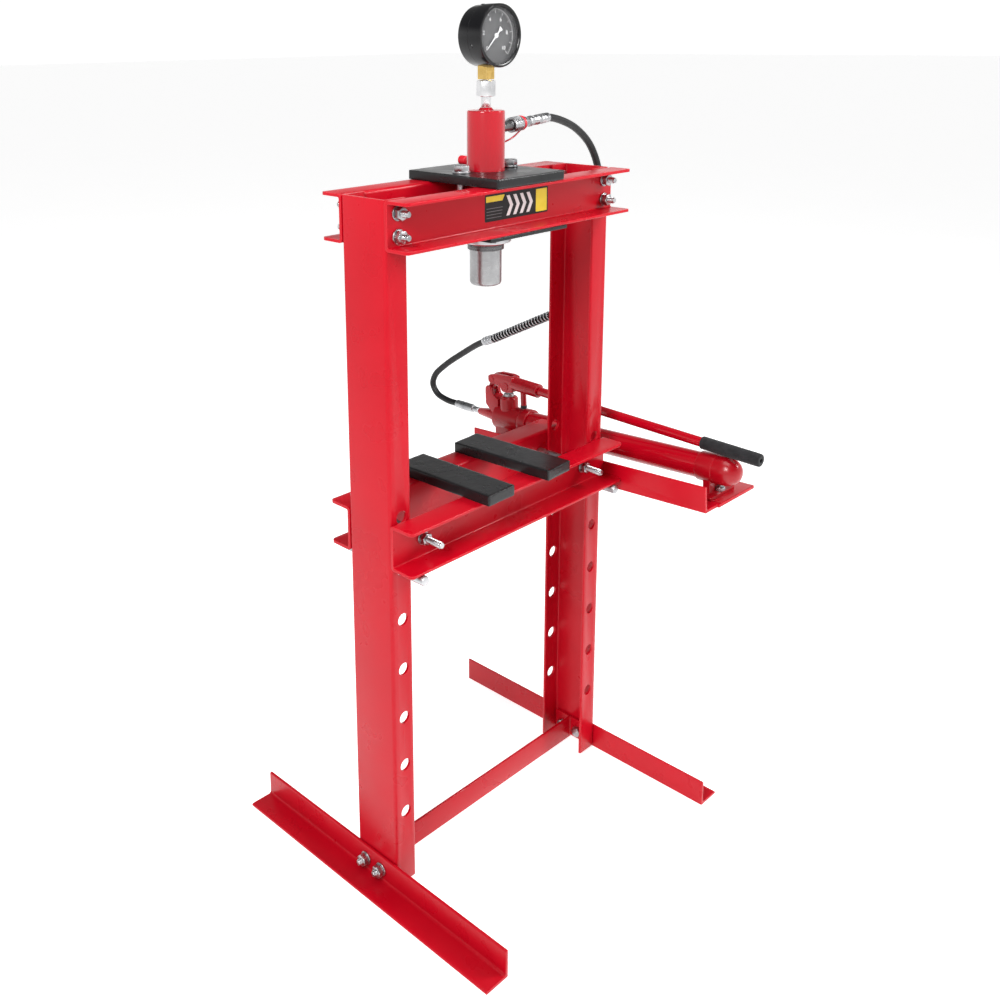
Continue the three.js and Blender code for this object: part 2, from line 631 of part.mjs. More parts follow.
function handleGrip() {
  const m = turned([
    [9.9, 464], [11.5, 464], [12.4, 466], [12.4, 583], [11, 585.5], [4, 586], [4, 579], [9.9, 579],
    [9.9, 464],
  ], 20);
  return onHandleLine(m);
}

// ---- bed ---------------------------------------------------------------------------------------
function bedBolt(side) {
  const half = BEAM_BACK + PLATE_T;
  const m = union(
    fastener({ grip: 2 * half, tail: 33, headWasher: 2.5 }),
    bar(10, PLATE_T + GAP, 2 * half - PLATE_T - GAP, 12),
  );
  return toMinusY(m).translate([side * BED_BOLT_X, half, BED_Z + 37]);
}

function bedPin(side) {
  const m = turned([
    [0, -BED_PIN_HALF], [BED_PIN_R - 2, -BED_PIN_HALF], [BED_PIN_R, -BED_PIN_HALF + 2],
    [BED_PIN_R, BED_PIN_HALF - 2], [BED_PIN_R - 2, BED_PIN_HALF], [0, BED_PIN_HALF],
  ], 12);
  return toPlusY(m).translate([side * PIN_HOLE_X, 0, BED_PIN_Z]);
}

function pressPlate(x, yaw) {
  const plan = rounded([[-33.5, -108.5, 2], [33.5, -108.5, 2], [33.5, 108.5, 2], [-33.5, 108.5, 2]], 2);
  const bottom = BED_Z + BEAM_HEIGHT + GAP;
  return pulled(plan, bottom, bottom + 19).rotate([0, 0, yaw]).translate([x, -6.5, 0]);
}

// ---- assembly ----------------------------------------------------------------------------------
const group = new THREE.Group();
group.name = 'hydraulic_shop_press';

function piece(name, manifold, look) {
  const placed = manifold.translate([-AXIS_OFFSET_X, 0, 0]);
  const mesh = placed.getMesh();
  const geometry = new THREE.BufferGeometry();
  const position = new Float32Array(mesh.numVert * 3);
  for (let i = 0; i < mesh.numVert; i += 1) {
    for (let k = 0; k < 3; k += 1) position[3 * i + k] = mesh.vertProperties[mesh.numProp * i + k];
  }
  geometry.setAttribute('position', new THREE.BufferAttribute(position, 3));
  geometry.setIndex(new THREE.BufferAttribute(Uint32Array.from(mesh.triVerts), 1));
  geometry.computeVertexNormals();
  const node = new THREE.Mesh(geometry, new THREE.MeshStandardMaterial(look));
  node.name = name;
  group.add(node);
}

const SIDES = [['left', -1], ['right', 1]];
const FACES = [['front', -1], ['rear', 1]];

for (const [side, s] of SIDES) {
  piece(`${side}_upright`, upright(s), RED);
  piece(`${side}_foot`, foot(s), RED);
  FOOT_BOLT_Y.forEach((y, k) => piece(`${side}_foot_bolt_${k + 1}`, footBolt(s, y), ZINC));
  piece(`${side}_bed_bolt`, bedBolt(s), ZINC);
  piece(`${side}_bed_pin`, bedPin(s), ZINC);
  piece(`${side}_plate_bolt`, plateBolt(s), ZINC);
  for (const [face, f] of FACES) {
    piece(`${face}_${side}_bolt_lower`, beamBolt(s, f, BEAM_BOLT_Z[0]), ZINC);
    piece(`${face}_${side}_bolt_upper`, beamBolt(s, f, BEAM_BOLT_Z[1]), ZINC);
  }
}
for (const [face, f] of FACES) {
  piece(`${face}_upper_beam`, beam(f, FRAME_TOP - BEAM_HEIGHT, BEAM_BOLT_X, BEAM_BOLT_Z), RED);
  piece(`${face}_bed_beam`, beam(f, BED_Z, BED_BOLT_X, [BED_Z + 37]), RED);
}
piece('base_tie_bar', baseTieBar(), RED);
piece('left_press_plate', pressPlate(-86.5, 1.5), BLACK);
piece('right_press_plate', pressPlate(62.3, 3.6), BLACK);
piece('cylinder_top_plate', cylinderTopPlate(), BLACK);
piece('cylinder_lower_plate', cylinderLowerPlate(), BLACK);
piece('cylinder_barrel', cylinderBarrel(), RED);
piece('cylinder_ring_nut', cylinderRingNut(), STEEL);
piece('ram', ram(), STEEL);
piece('ram_return_spring', ramReturnSpring(), STEEL);
piece('gauge_case', gaugeCase(), BLACK);
piece('gauge_dial', gaugeDisc(47.6, -20.4, -19.4, 2.2), DIAL);
piece('gauge_lens', gaugeDisc(47.6, -29.9, -27.9, 0), GLASS);
piece('gauge_needle', gaugeNeedle(), WHITE);
piece('gauge_socket', gaugeSocket(), BRASS);
piece('gauge_adapter', gaugeAdapter(), ZINC);
piece('coupler_nipple', couplerNipple(), STEEL);
piece('coupler_collar', couplerCollar(), ZINC);
piece('coupler_dust_cap', couplerDustCap(), CAP_RED);
piece('hose_top_fitting', hoseTopFitting(), ZINC);
piece('hose', hose(), RUBBER);
piece('hose_spring_guard', hoseSpringGuard(), STEEL);
piece('hose_end_ferrule', hoseEndFerrule(), ZINC);
piece('pump_bracket', pumpBracket(), RED);
BRACKET_BOLTS.forEach(([y, z], k) => piece(`bracket_bolt_${k + 1}`, bracketBolt(y, z), ZINC));
piece('pump_foot_bolt', pumpFootBolt(), ZINC);
piece('pump_head', pumpHead(), RED);
piece('pump_reservoir', pumpReservoir(), RED);
piece('pump_end_cap', pumpEndCap(), RED);
piece('pump_plunger', pumpPlunger(), STEEL);
piece('pump_link', pumpLink(), RED);
piece('handle_socket', handleSocket(), RED);
piece('handle_tube', handleTube(), RED);
piece('handle_grip', handleGrip(), FOAM);

export default group;
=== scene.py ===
"""Looks of the hydraulic shop press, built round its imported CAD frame.

Lengths are millimetres from the ram's axis at floor level, unless a comment says otherwise.
TO_ROW and place() turn them into the row frame's metres.
"""
from math import acos, atan2, cos, pi, radians, sin, tan

import bmesh
import bpy
from mathutils import Matrix, Vector
from mathutils.noise import noise as noise_at


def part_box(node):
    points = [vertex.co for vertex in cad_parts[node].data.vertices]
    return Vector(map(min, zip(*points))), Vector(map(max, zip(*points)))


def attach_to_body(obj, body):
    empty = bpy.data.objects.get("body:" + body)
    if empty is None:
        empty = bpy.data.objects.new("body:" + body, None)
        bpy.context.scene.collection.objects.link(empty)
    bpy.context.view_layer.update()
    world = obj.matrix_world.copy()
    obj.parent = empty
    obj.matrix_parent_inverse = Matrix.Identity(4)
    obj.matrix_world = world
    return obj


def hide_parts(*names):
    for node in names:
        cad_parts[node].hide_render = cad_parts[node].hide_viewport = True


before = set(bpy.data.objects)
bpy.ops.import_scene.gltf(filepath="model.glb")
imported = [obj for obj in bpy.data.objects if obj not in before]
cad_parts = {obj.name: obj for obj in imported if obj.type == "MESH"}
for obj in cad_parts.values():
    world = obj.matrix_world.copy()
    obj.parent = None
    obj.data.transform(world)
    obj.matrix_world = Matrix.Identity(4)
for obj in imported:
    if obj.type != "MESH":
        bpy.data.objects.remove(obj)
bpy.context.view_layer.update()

MM = 0.001
SIDES = (("left", -1), ("right", 1))
FACES = (("front", -1), ("rear", 1))
scene = bpy.context.scene


def ram_axis():
    """The x of the ram's axis in the row frame, in millimetres."""
    low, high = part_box("ram")
    return ((low / MM).x + (high / MM).x) / 2


TO_ROW = Matrix.Scale(MM, 4) @ Matrix.Translation((ram_axis(), 0, 0))


def place(x, y, z):
    return TO_ROW @ Vector((x, y, z))


def linked(name, data):
    obj = bpy.data.objects.new(name, data)
    scene.collection.objects.link(obj)
    return obj


# -------- camera, solved from the photograph
CAMERA_AT = (-1384.5, -1262.7, 1450.4)
CAMERA_TURN = (-44.05, -13.02, -0.705)  # yaw, pitch and roll in degrees
CAMERA_FOCAL = 1.1064  # in widths of the picture, as the shift is
CAMERA_SHIFT = (0.0819, -0.2106)
SENSOR = 36


def make_camera():
    yaw, pitch, roll = (radians(a) for a in CAMERA_TURN)
    ahead = Vector((-sin(yaw) * cos(pitch), cos(yaw) * cos(pitch), sin(pitch)))
    level = Vector((cos(yaw), sin(yaw), 0))
    upright = level.cross(ahead)
    right = cos(roll) * level + sin(roll) * upright
    up = -sin(roll) * level + cos(roll) * upright
    data = bpy.data.cameras.new("camera")
    data.sensor_width = SENSOR
    data.lens = SENSOR * CAMERA_FOCAL
    data.shift_x, data.shift_y = CAMERA_SHIFT
    data.clip_end = 200
    scene.camera = linked("camera", data)
    turn = Matrix((right, up, -ahead)).transposed().to_4x4()
    scene.camera.matrix_world = Matrix.Translation(place(*CAMERA_AT)) @ turn


make_camera()
scene.view_settings.view_transform = "Standard"  # the default one greys the red

# -------- materials
NOISE_SPAN = (0.3, 0.7)  # the range that noise mostly keeps to
# EDGE_SPAN sets where the painted edge highlight fades in.
EDGE_SPAN = (0.985, 0.8)  # cosine between a face and its rounded normal: flat, and a full edge


class Finish:
    """A material round one Principled shader. Lengths in it are metres."""

    def __init__(self, name, slot=None):
        self.mat = bpy.data.materials.new(name)
        self.mat.use_nodes = True
        self.tree = self.mat.node_tree
        self.tree.nodes.clear()
        out = self.node("OutputMaterial")
        self.shader = self.node("BsdfPrincipled")
        self.tree.links.new(self.shader.outputs[0], out.inputs[0])

    def node(self, kind, inputs=None):
        node = self.tree.nodes.new("ShaderNode" + kind)
        self.feed(node, inputs or {})
        return node

    def feed(self, node, inputs):
        """Sets a node's inputs to values, or links them to other nodes' outputs."""
        for key, value in inputs.items():
            if isinstance(value, bpy.types.NodeSocket):
                self.tree.links.new(value, node.inputs[key])
            else:
                node.inputs[key].default_value = value

    def set(self, **inputs):
        """Feeds the shader; an underscore in a name stands for a space."""
        self.feed(self.shader, {key.replace("_", " "): value for key, value in inputs.items()})

    def noise(self, scale, detail=3.0, stretch=(1, 1, 1)):
        coord = self.node("TexCoord").outputs["Object"]
        mapping = self.node("Mapping", {0: coord, "Scale": stretch})
        return self.node("TexNoise", {"Vector": mapping.outputs[0], "Scale": scale,
            "Detail": detail}).outputs["Fac"]

    def drift(self, scale, detail, dark, light):
        """A colour that wanders between two shades."""
        node = self.node("ValToRGB", {0: self.noise(scale, detail)})
        for stop, position, shade in zip(node.color_ramp.elements, NOISE_SPAN, (dark, light)):
            stop.position = position
            stop.color = (*shade, 1)
        return node.outputs[0]

    def spread(self, source, low, high, span=NOISE_SPAN):
        """A value between low and high as the source goes over its span."""
        return self.node("MapRange", {0: source, "From Min": span[0], "From Max": span[1],
            "To Min": low, "To Max": high}).outputs[0]

    def bump(self, height, strength, distance, below=None):
        """Bump into the shader, over the one below where there is one."""
        inputs = {"Height": height, "Strength": strength, "Distance": distance}
        if below is not None:
            inputs["Normal"] = below
        normal = self.node("Bump", inputs).outputs[0]
        self.set(Normal=normal)
        return normal

    def worn(self, color, edge, radius):
        """Painted highlight along edges: the colour turns to a paler one where the surface bends within a radius."""
        wide = self.node("Bevel", {"Radius": radius})
        wide.samples = 4
        dot = self.node("VectorMath")
        dot.operation = "DOT_PRODUCT"
        self.feed(dot, {0: wide.outputs[0], 1: self.node("NewGeometry").outputs["Normal"]})
        mix = self.node("Mix")
        mix.data_type = "RGBA"
        factor = self.spread(dot.outputs["Value"], 0, 1, EDGE_SPAN)
        self.feed(mix, {"Factor": factor, "A": color, "B": (*edge, 1)})
        return mix.outputs["Result"]


def paint(name, slot, dark, light, edge, rough, coat=0.0, peel=0.035, grain=420, gloss=0.34):
    """Sprayed enamel: slow colour drift, orange peel over a slight waviness, and a painted highlight in a paler colour
    along the edges.
    """
    look = Finish(name, slot)
    look.set(Base_Color=look.worn(look.drift(5, 4, dark, light), edge, 0.0012),
        Roughness=look.spread(look.noise(20, 2), rough * 0.85, rough * 1.2))
    fine_peel = look.bump(look.noise(grain, 2), peel, 0.0004)
    look.bump(look.noise(6, 1), 0.02, 0.002, fine_peel)
    look.set(Specular_IOR_Level=gloss, Coat_Weight=coat, Coat_Roughness=0.12)
    return look.mat


def metal(name, slot, dark, light, rough, stretch=(1, 1, 1), grain=220, depth=0.15, edge=None, turned=0.0):
    """Bare or plated metal with fine tool marks and, given an edge colour, a painted highlight along its edges; turned
    draws its highlights out along z.
    """
    look = Finish(name, slot)
    color = look.drift(30, 5, dark, light)
    # edge is a paler colour painted along the edges as a highlight.
    if edge:
        color = look.worn(color, edge, 0.0008)
    look.set(Base_Color=color, Metallic=1.0,
        Roughness=look.spread(look.noise(120, 4, stretch), rough * 0.7, rough * 1.4))
    look.bump(look.noise(grain, 3, stretch), depth, 0.0003)
    if turned:
        tangent = look.node("Tangent")
        tangent.direction_type = "RADIAL"
        tangent.axis = "Z"
        look.set(Tangent=tangent.outputs[0], Anisotropic=turned, Anisotropic_Rotation=0.25)
    return look.mat


def plain(name, slot, dark, light, rough, grain, depth, distance=0.0006, cells=False, sheen=0.0, gloss=0.5):
    """Rubber, foam and moulded plastic, with a cellular grain for the foam."""
    look = Finish(name, slot)
    look.set(Base_Color=look.drift(60, 5, dark, light),
        Roughness=look.spread(look.noise(90, 3), rough * 0.85, min(1, rough * 1.15)))
    if cells:
        coord = look.node("TexCoord").outputs["Object"]
        height = look.node("TexVoronoi", {"Scale": grain, "Vector": coord}).outputs["Distance"]
    else:
        height = look.noise(grain, 4)
    look.bump(height, depth, distance)
    look.set(Sheen_Weight=sheen, Specular_IOR_Level=gloss)
    return look.mat


def glass(name, slot):
    look = Finish(name, slot)
    look.set(Base_Color=(0.5, 0.5, 0.51, 1), Roughness=0.06, Specular_IOR_Level=0.5,
        Alpha=look.spread(look.noise(40, 3), 0.05, 0.09))
    return look.mat


# The third colour of each paint, and the edge colour of each metal, is a painted highlight along its edges.
RED = paint("red_enamel", "red_paint", (0.39, 0.0008, 0.008), (0.46, 0.0015, 0.011),
    (0.74, 0.05, 0.065), 0.3, coat=0.04, gloss=0.2)
CAST_RED = paint("red_casting", "red_paint", (0.3, 0.0008, 0.006), (0.4, 0.0015, 0.01),
    (0.62, 0.035, 0.045), 0.3, coat=0.15, peel=0.16, grain=240)
CYLINDER_RED = paint("red_gloss", "red_paint", (0.37, 0.0008, 0.008), (0.43, 0.0015, 0.011),
    (0.68, 0.045, 0.055), 0.16, coat=0.35, peel=0.05)
BLACK = paint("black_plate", "black_paint", (0.004, 0.004, 0.0045), (0.013, 0.0135, 0.0145),
    (0.06, 0.06, 0.06), 0.28, peel=0.5, grain=170, gloss=0.3)
GAUGE_BLACK = paint("gauge_black", "gauge_black", (0.003, 0.003, 0.0035), (0.005, 0.005, 0.006),
    (0.03, 0.03, 0.03), 0.17, coat=0.15, peel=0.04, gloss=0.3)
DIAL = plain("dial_grey", "dial_face", (0.022, 0.022, 0.024), (0.032, 0.033, 0.035), 0.6, 500, 0.05)
DIAL_WHITE = plain("dial_white", "needle_white", (0.72, 0.72, 0.72), (0.82, 0.82, 0.82), 0.5, 500, 0.05)
ZINC = metal("zinc_plate", "zinc_plate", (0.25, 0.26, 0.275), (0.54, 0.54, 0.55), 0.3, grain=400,
    depth=0.2, edge=(0.86, 0.86, 0.87))
CHROME = metal("bright_plate", "zinc_plate", (0.55, 0.55, 0.56), (0.82, 0.82, 0.83), 0.22, grain=200,
    depth=0.15, edge=(0.92, 0.92, 0.92))
STEEL = metal("ground_steel", "bright_steel", (0.3, 0.3, 0.305), (0.4, 0.4, 0.405), 0.34,
    stretch=(1, 1, 9), grain=160, depth=0.03, turned=0.5)
NUT_STEEL = metal("nut_steel", "bright_steel", (0.4, 0.4, 0.41), (0.6, 0.6, 0.61), 0.38, grain=300,
    depth=0.2, edge=(0.8, 0.8, 0.8))
DARK_STEEL = metal("dark_steel", "bright_steel", (0.1, 0.1, 0.105), (0.22, 0.22, 0.22), 0.33,
    grain=260, depth=0.25, edge=(0.5, 0.5, 0.5))
SPRING = metal("spring_wire", "spring_wire", (0.3, 0.3, 0.31), (0.6, 0.6, 0.61), 0.24, grain=300,
    depth=0.1)
BRASS = metal("brass", "brass_block", (0.56, 0.36, 0.1), (0.8, 0.57, 0.2), 0.26, grain=260,
    depth=0.08, edge=(0.92, 0.76, 0.42))
HOSE = plain("hose_rubber", "hose_rubber", (0.005, 0.005, 0.0055), (0.011, 0.011, 0.012), 0.42, 900, 0.3,
    0.0004, gloss=0.25)
FOAM = plain("grip_foam", "grip_foam", (0.01, 0.01, 0.011), (0.02, 0.02, 0.022), 0.8, 700, 0.4,
    cells=True, sheen=0.1, gloss=0.2)
CAP = plain("cap_rubber", "cap_rubber", (0.5, 0.003, 0.014), (0.62, 0.006, 0.02), 0.4, 300, 0.1)
TIP = plain("black_rubber", "cap_rubber", (0.008, 0.008, 0.009), (0.018, 0.018, 0.02), 0.6, 400, 0.3)


def ink(name, dark, light, gloss=0.5):
    """A printed colour of the front beam's sticker."""
    return plain("label_" + name, "black_paint", dark, light, 0.4, 300, 0.05, gloss=gloss)


LABEL_BLACK = ink("black", (0.006, 0.006, 0.0065), (0.011, 0.011, 0.012), 0.25)
LABEL_YELLOW = ink("yellow", (0.72, 0.58, 0.01), (0.8, 0.66, 0.03))
LABEL_WHITE = ink("white", (0.66, 0.66, 0.66), (0.76, 0.76, 0.76))
LABEL_GREY = ink("grey", (0.07, 0.07, 0.075), (0.11, 0.11, 0.115))
GLASS = glass("gauge_glass", "gauge_glass")

# -------- mesh helpers
def spun(degrees, axis="Z"):
    return Matrix.Rotation(radians(degrees), 4, axis)


ALONG_X, ALONG_Y, AGAINST_Y = spun(90, "Y"), spun(-90, "X"), spun(90, "X")  # where +Z goes
UPSIDE_DOWN = spun(180, "X")
ACROSS_X = Matrix(((0, 0, 1, 0), (1, 0, 0, 0), (0, 1, 0, 0), (0, 0, 0, 1)))  # (a, b, c) to (y, z, x)
FLAT_ALONG_Y = Matrix(((1, 0, 0, 0), (0, 0, 1, 0), (0, 1, 0, 0), (0, 0, 0, 1)))  # (a, b, c) to (x, z, y)
MIRROR_X = Matrix.Scale(-1, 4, (1, 0, 0))
MIRROR_Y = Matrix.Scale(-1, 4, (0, 1, 0))


def at(x, y, z):
    return Matrix.Translation((x, y, z))


def mesh_from(verts, faces):
    mesh = bpy.data.meshes.new("shape")
    mesh.from_pydata([tuple(v) for v in verts], [], faces)
    mesh.update()
    return mesh


def rounded(corners, steps=5):
    """Corner list (x, y, radius) to a polygon with rounded corners."""
    points = []
    for i, (x, y, r) in enumerate(corners):
        here = Vector((x, y))
        if not r:
            points.append(here)
            continue
        before = Vector(corners[i - 1][:2])
        after = Vector(corners[(i + 1) % len(corners)][:2])
        a, b = (before - here).normalized(), (after - here).normalized()
        half = acos(max(-1, min(1, a.dot(b)))) / 2
        centre = here + (a + b).normalized() * (r / sin(half))
        start, end = here + a * (r / tan(half)) - centre, here + b * (r / tan(half)) - centre
        turn = atan2(start.x * end.y - start.y * end.x, start.dot(end))
        for k in range(steps + 1):
            c, s = cos(turn * k / steps), sin(turn * k / steps)
            points.append(centre + Vector((start.x * c - start.y * s, start.x * s + start.y * c)))
    return points


def oblong(x0, x1, y0, y1, *radii, steps=5):
    """Rectangle with rounded corners: four radii from (x0, y0) round, or one for all."""
    r = radii if len(radii) == 4 else radii * 4
    return rounded([(x0, y0, r[0]), (x1, y0, r[1]), (x1, y1, r[2]), (x0, y1, r[3])], steps)


def side_faces(n, first=0):
    """The quads between a ring of n vertices and the next ring."""
    return [[first + k, first + (k + 1) % n, first + n + (k + 1) % n, first + n + k] for k in range(n)]


def prism(outline, z0, z1):
    """A polygon pulled along +Z."""
    n = len(outline)
    verts = [(p[0], p[1], z) for z in (z0, z1) for p in outline]
    ends = [list(range(n))[::-1], list(range(n, 2 * n))]
    return solid(mesh_from(verts, ends + side_faces(n)))


def across(outline, low, high):
    """A side outline in (y, z) pulled along x."""
    return moved(prism(outline, low, high), ACROSS_X)


def block(x0, x1, y0, y1, z0, z1):
    return prism([(x0, y0), (x1, y0), (x1, y1), (x0, y1)], z0, z1)


def turned(profile, segments=56, closed=False):
    """A turned piece round +Z from (radius, z) pairs; closed joins their ends into a ring."""
    verts, rings = [], []
    for r, z in profile:
        if r < 1e-6:
            rings.append([len(verts)] * segments)
            verts.append((0, 0, z))
            continue
        rings.append(list(range(len(verts), len(verts) + segments)))
        for k in range(segments):
            a = 2 * pi * k / segments
            verts.append((r * cos(a), r * sin(a), z))
    faces = []
    pairs = list(zip(rings, rings[1:])) + ([(rings[-1], rings[0])] if closed else [])
    for low, high in pairs:
        for k in range(segments):
            m = (k + 1) % segments
            quad = [low[k], low[m], high[m], high[k]]
            quad = [v for i, v in enumerate(quad) if v not in quad[:i]]
            if len(quad) > 2:
                faces.append(quad)
    return solid(mesh_from(verts, faces))


def solid(mesh):
    """The mesh with its normals facing out."""
    bm = bmesh.new()
    bm.from_mesh(mesh)
    bmesh.ops.recalc_face_normals(bm, faces=bm.faces)
    bm.to_mesh(mesh)
    bm.free()
    return mesh


def moved(mesh, matrix):
    mesh.transform(matrix)
    if matrix.determinant() < 0:
        mesh.flip_normals()
    return mesh


def joined(*meshes):
    bm = bmesh.new()
    for mesh in meshes:
        bm.from_mesh(mesh)
    out = bpy.data.meshes.new("shape")
    bm.to_mesh(out)
    bm.free()
    return out


def settled(obj):
    """The object's mesh with its modifiers worked in."""
    bpy.context.view_layer.update()
    deps = bpy.context.evaluated_depsgraph_get()
    mesh = bpy.data.meshes.new_from_object(obj.evaluated_get(deps))
    obj.modifiers.clear()
    obj.data = mesh
    return mesh


def combine(base, tools, operation="DIFFERENCE"):
    """Boolean of one mesh with a list of meshes."""
    host = linked("host", base)
    helpers = [linked("tool", tool) for tool in tools]
    for helper in helpers:
        mod = host.modifiers.new("boolean", "BOOLEAN")
        mod.operation = operation
        mod.solver = "EXACT"
        mod.object = helper
    mesh = settled(host)
    for obj in [host, *helpers]:
        bpy.data.objects.remove(obj)
    return mesh


def hole(r, low, high, matrix, segments=40):
    return moved(turned([(0, low), (r, low), (r, high), (0, high)], segments), matrix)


def attach(obj, mat, body, nodes):
    """Gives a piece its material and body, and hides the CAD nodes that it stands for."""
    obj.data.materials.append(mat)
    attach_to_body(obj, body)
    if nodes:
        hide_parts(*nodes)
    return obj


def piece(name, mesh, mat, body="frame", nodes=(), bevel=0, segments=3, smooth=38, where=None):
    """One finished object: placed, edges rounded, smoothed, painted, and riding on its body."""
    if where is not None:
        moved(mesh, where)
    obj = linked(name, mesh)
    bm = bmesh.new()
    bm.from_mesh(mesh)
    bmesh.ops.remove_doubles(bm, verts=bm.verts, dist=1e-4)
    bmesh.ops.dissolve_degenerate(bm, dist=1e-4, edges=bm.edges)
    bm.to_mesh(mesh)
    bm.free()
    if bevel:
        mod = obj.modifiers.new("round", "BEVEL")
        mod.width = bevel
        mod.segments = segments
        mod.limit_method = "ANGLE"
        mod.angle_limit = radians(32)
        mod.use_clamp_overlap = True
        settled(obj)
    obj.data.transform(TO_ROW)
    for poly in obj.data.polygons:
        poly.use_smooth = True
    obj.data.set_sharp_from_angle(angle=radians(smooth))
    obj.data.materials.clear()
    return attach(obj, mat, body, nodes)


def shown(node, mesh, mat, body="frame", **look):
    """The piece that stands for one CAD node."""
    return piece(node + "_shown", mesh, mat, body, [node], **look)


# -------- lines and the pipes along them
PIPE_SIDES = 28


def smooth_route(points, per_span=9):
    """Centripetal Catmull-Rom curve through the points, as the CAD hose follows."""
    p = [Vector(q) for q in points]
    p = [2 * p[0] - p[1], *p, 2 * p[-1] - p[-2]]
    out = []
    for i in range(1, len(p) - 2):
        a, b, c, d = p[i - 1:i + 3]
        t0, t1, t2 = ((v - u).length ** 0.5 for u, v in ((a, b), (b, c), (c, d)))
        m1 = ((b - a) / t0 - (c - a) / (t0 + t1) + (c - b) / t1) * t1
        m2 = ((c - b) / t1 - (d - b) / (t1 + t2) + (d - c) / t2) * t1
        for k in range(per_span):
            t = k / per_span
            out.append(b * (2 * t**3 - 3 * t**2 + 1) + m1 * (t**3 - 2 * t**2 + t)
                + c * (-2 * t**3 + 3 * t**2) + m2 * (t**3 - t**2))
    return [*out, p[-2]]


def fine(points, gap):
    """The same line with points a gap apart."""
    out = [points[0]]
    for a, b in zip(points, points[1:]):
        steps = max(1, round((b - a).length / gap))
        out += [a.lerp(b, k / steps) for k in range(1, steps + 1)]
    return out


def last_part(line, length):
    """The last stretch of a line, of a given length, in half-millimetre steps."""
    close = fine(line, 0.5)
    travelled, k = 0.0, len(close) - 1
    while k and travelled < length:
        travelled += (close[k] - close[k - 1]).length
        k -= 1
    return close[k:]


def back_from(line, length):
    """The line without its last stretch."""
    close = fine(line, 0.5)
    return close[:len(close) - len(last_part(line, length))]


def along(line, i):
    """The direction of a line at one of its points."""
    return (line[min(i + 1, len(line) - 1)] - line[max(i - 1, 0)]).normalized()


def carried(side, ahead):
    """A direction square to the line, carried along it without twist."""
    if side is None:
        side = ahead.orthogonal().normalized()
    return (side - ahead * side.dot(ahead)).normalized()


def skin(rings, n):
    """A closed mesh over rings of n vertices each, listed one after another."""
    faces = []
    for first in range(0, len(rings) - n, n):
        faces += side_faces(n, first)
    faces += [list(range(n))[::-1], list(range(len(rings) - n, len(rings)))]
    return solid(mesh_from(rings, faces))


def swept(points, section):
    """A pipe along points; section(s) gives the radius at arc length s."""
    verts, side, length = [], None, 0.0
    for i, p in enumerate(points):
        ahead = along(points, i)
        side = carried(side, ahead)
        if i:
            length += (p - points[i - 1]).length
        r = section(length)
        for k in range(PIPE_SIDES):
            a = 2 * pi * k / PIPE_SIDES
            verts.append(p + (side * cos(a) + ahead.cross(side) * sin(a)) * r)
    return skin(verts, PIPE_SIDES)


# -------- hose and its fittings
PORT_Z = 1290.6
PORT_DIRECTION = Vector((1, 0.12, 0.05)).normalized()
HOSE_R = 7.0
KINK_GUARD = (Vector((329.5, 120, 888)), Vector((350, 322, 788)))  # the stretch that it covers
SLEEVE = 30  # the coil stops short of the sleeve
COIL_R, COIL_PITCH = 10.0, 9.4
WIRE_GAP, WIRE_R = 1.5, 1.45
FERRULE_AT = (366, 372, 618)


def on_port(s):
    return Vector((0, 0, PORT_Z)) + PORT_DIRECTION * s


ROUTE = [
    on_port(168), on_port(190), (237, 31, 1292), (298, 40, 1271), (352, 47, 1234), (377, 46, 1185), (373, 40, 1110),
    (357, 36, 1020), (337, 50, 948), (327.3, 96, 900), (330, 126, 885), (337.5, 205.5, 845), (345, 285, 805),
    (353, 340, 780), (363, 401, 743), (366, 456, 705), (366, 492, 672), (366, 500, 648), (366, 486, 628),
    (366, 455, 619), (366, 424, 618), (366, 390, 618),
]
HOSE_LINE = smooth_route(ROUTE)


def tube_curve(name, points, radius, mat, node, sides=8):
    """A round curve along points, in place of one CAD node."""
    curve = bpy.data.curves.new(name, "CURVE")
    curve.dimensions = "3D"
    curve.bevel_depth = radius * MM
    curve.bevel_resolution = sides
    curve.use_fill_caps = True
    spline = curve.splines.new("POLY")
    spline.points.add(len(points) - 1)
    for target, source in zip(spline.points, points):
        target.co = (*(TO_ROW @ Vector(source)), 1)
    spline.use_smooth = True
    return attach(linked(name, curve), mat, "frame", [node])


def coil_round(points):
    """Centre line of the spring's wire, wound round a line."""
    out, side, travelled = [], None, 0.0
    line = fine(points, COIL_PITCH / 14)
    for i in range(len(line) - 1):
        ahead = along(line, i)
        side = carried(side, ahead)
        a = 2 * pi * travelled / COIL_PITCH
        out.append(line[i] + (side * cos(a) + ahead.cross(side) * sin(a)) * (COIL_R - WIRE_GAP))
        travelled += (line[i + 1] - line[i]).length
    return out


def make_hose():
    hose = tube_curve("hose_line", HOSE_LINE, HOSE_R, HOSE, "hose")
    first, last = (min(range(len(HOSE_LINE)), key=lambda i: (HOSE_LINE[i] - end).length) for end in KINK_GUARD)
    guarded = HOSE_LINE[first:last + 1]
    coil = tube_curve("kink_spring", coil_round(back_from(guarded, SLEEVE)), WIRE_R, SPRING, "hose_spring_guard", 3)
    sleeve = swept(last_part(guarded, SLEEVE + 4),
        lambda s: 9.9 - 0.5 * (s % 11 > 9.4) - 0.9 * (s < 1.2) - 0.9 * (s > 32.8))
    cuff = piece("kink_spring_sleeve", sleeve, ZINC)
    ferrule = turned([
        (7.3, 49), (8.6, 49), (9.1, 47.5), (9.3, 45), (8.8, 42), (9.4, 39), (9.4, 30), (8.8, 27), (9.4, 24),
        (9.4, 15), (8.8, 12), (9.4, 9), (9.2, 2), (8.4, -2.5), (6.3, -3), (6.3, -18), (5, -20), (0, -20),
        (0, 10), (7.3, 10)])
    lower = shown("hose_end_ferrule", ferrule, ZINC, where=at(*FERRULE_AT) @ ALONG_Y)


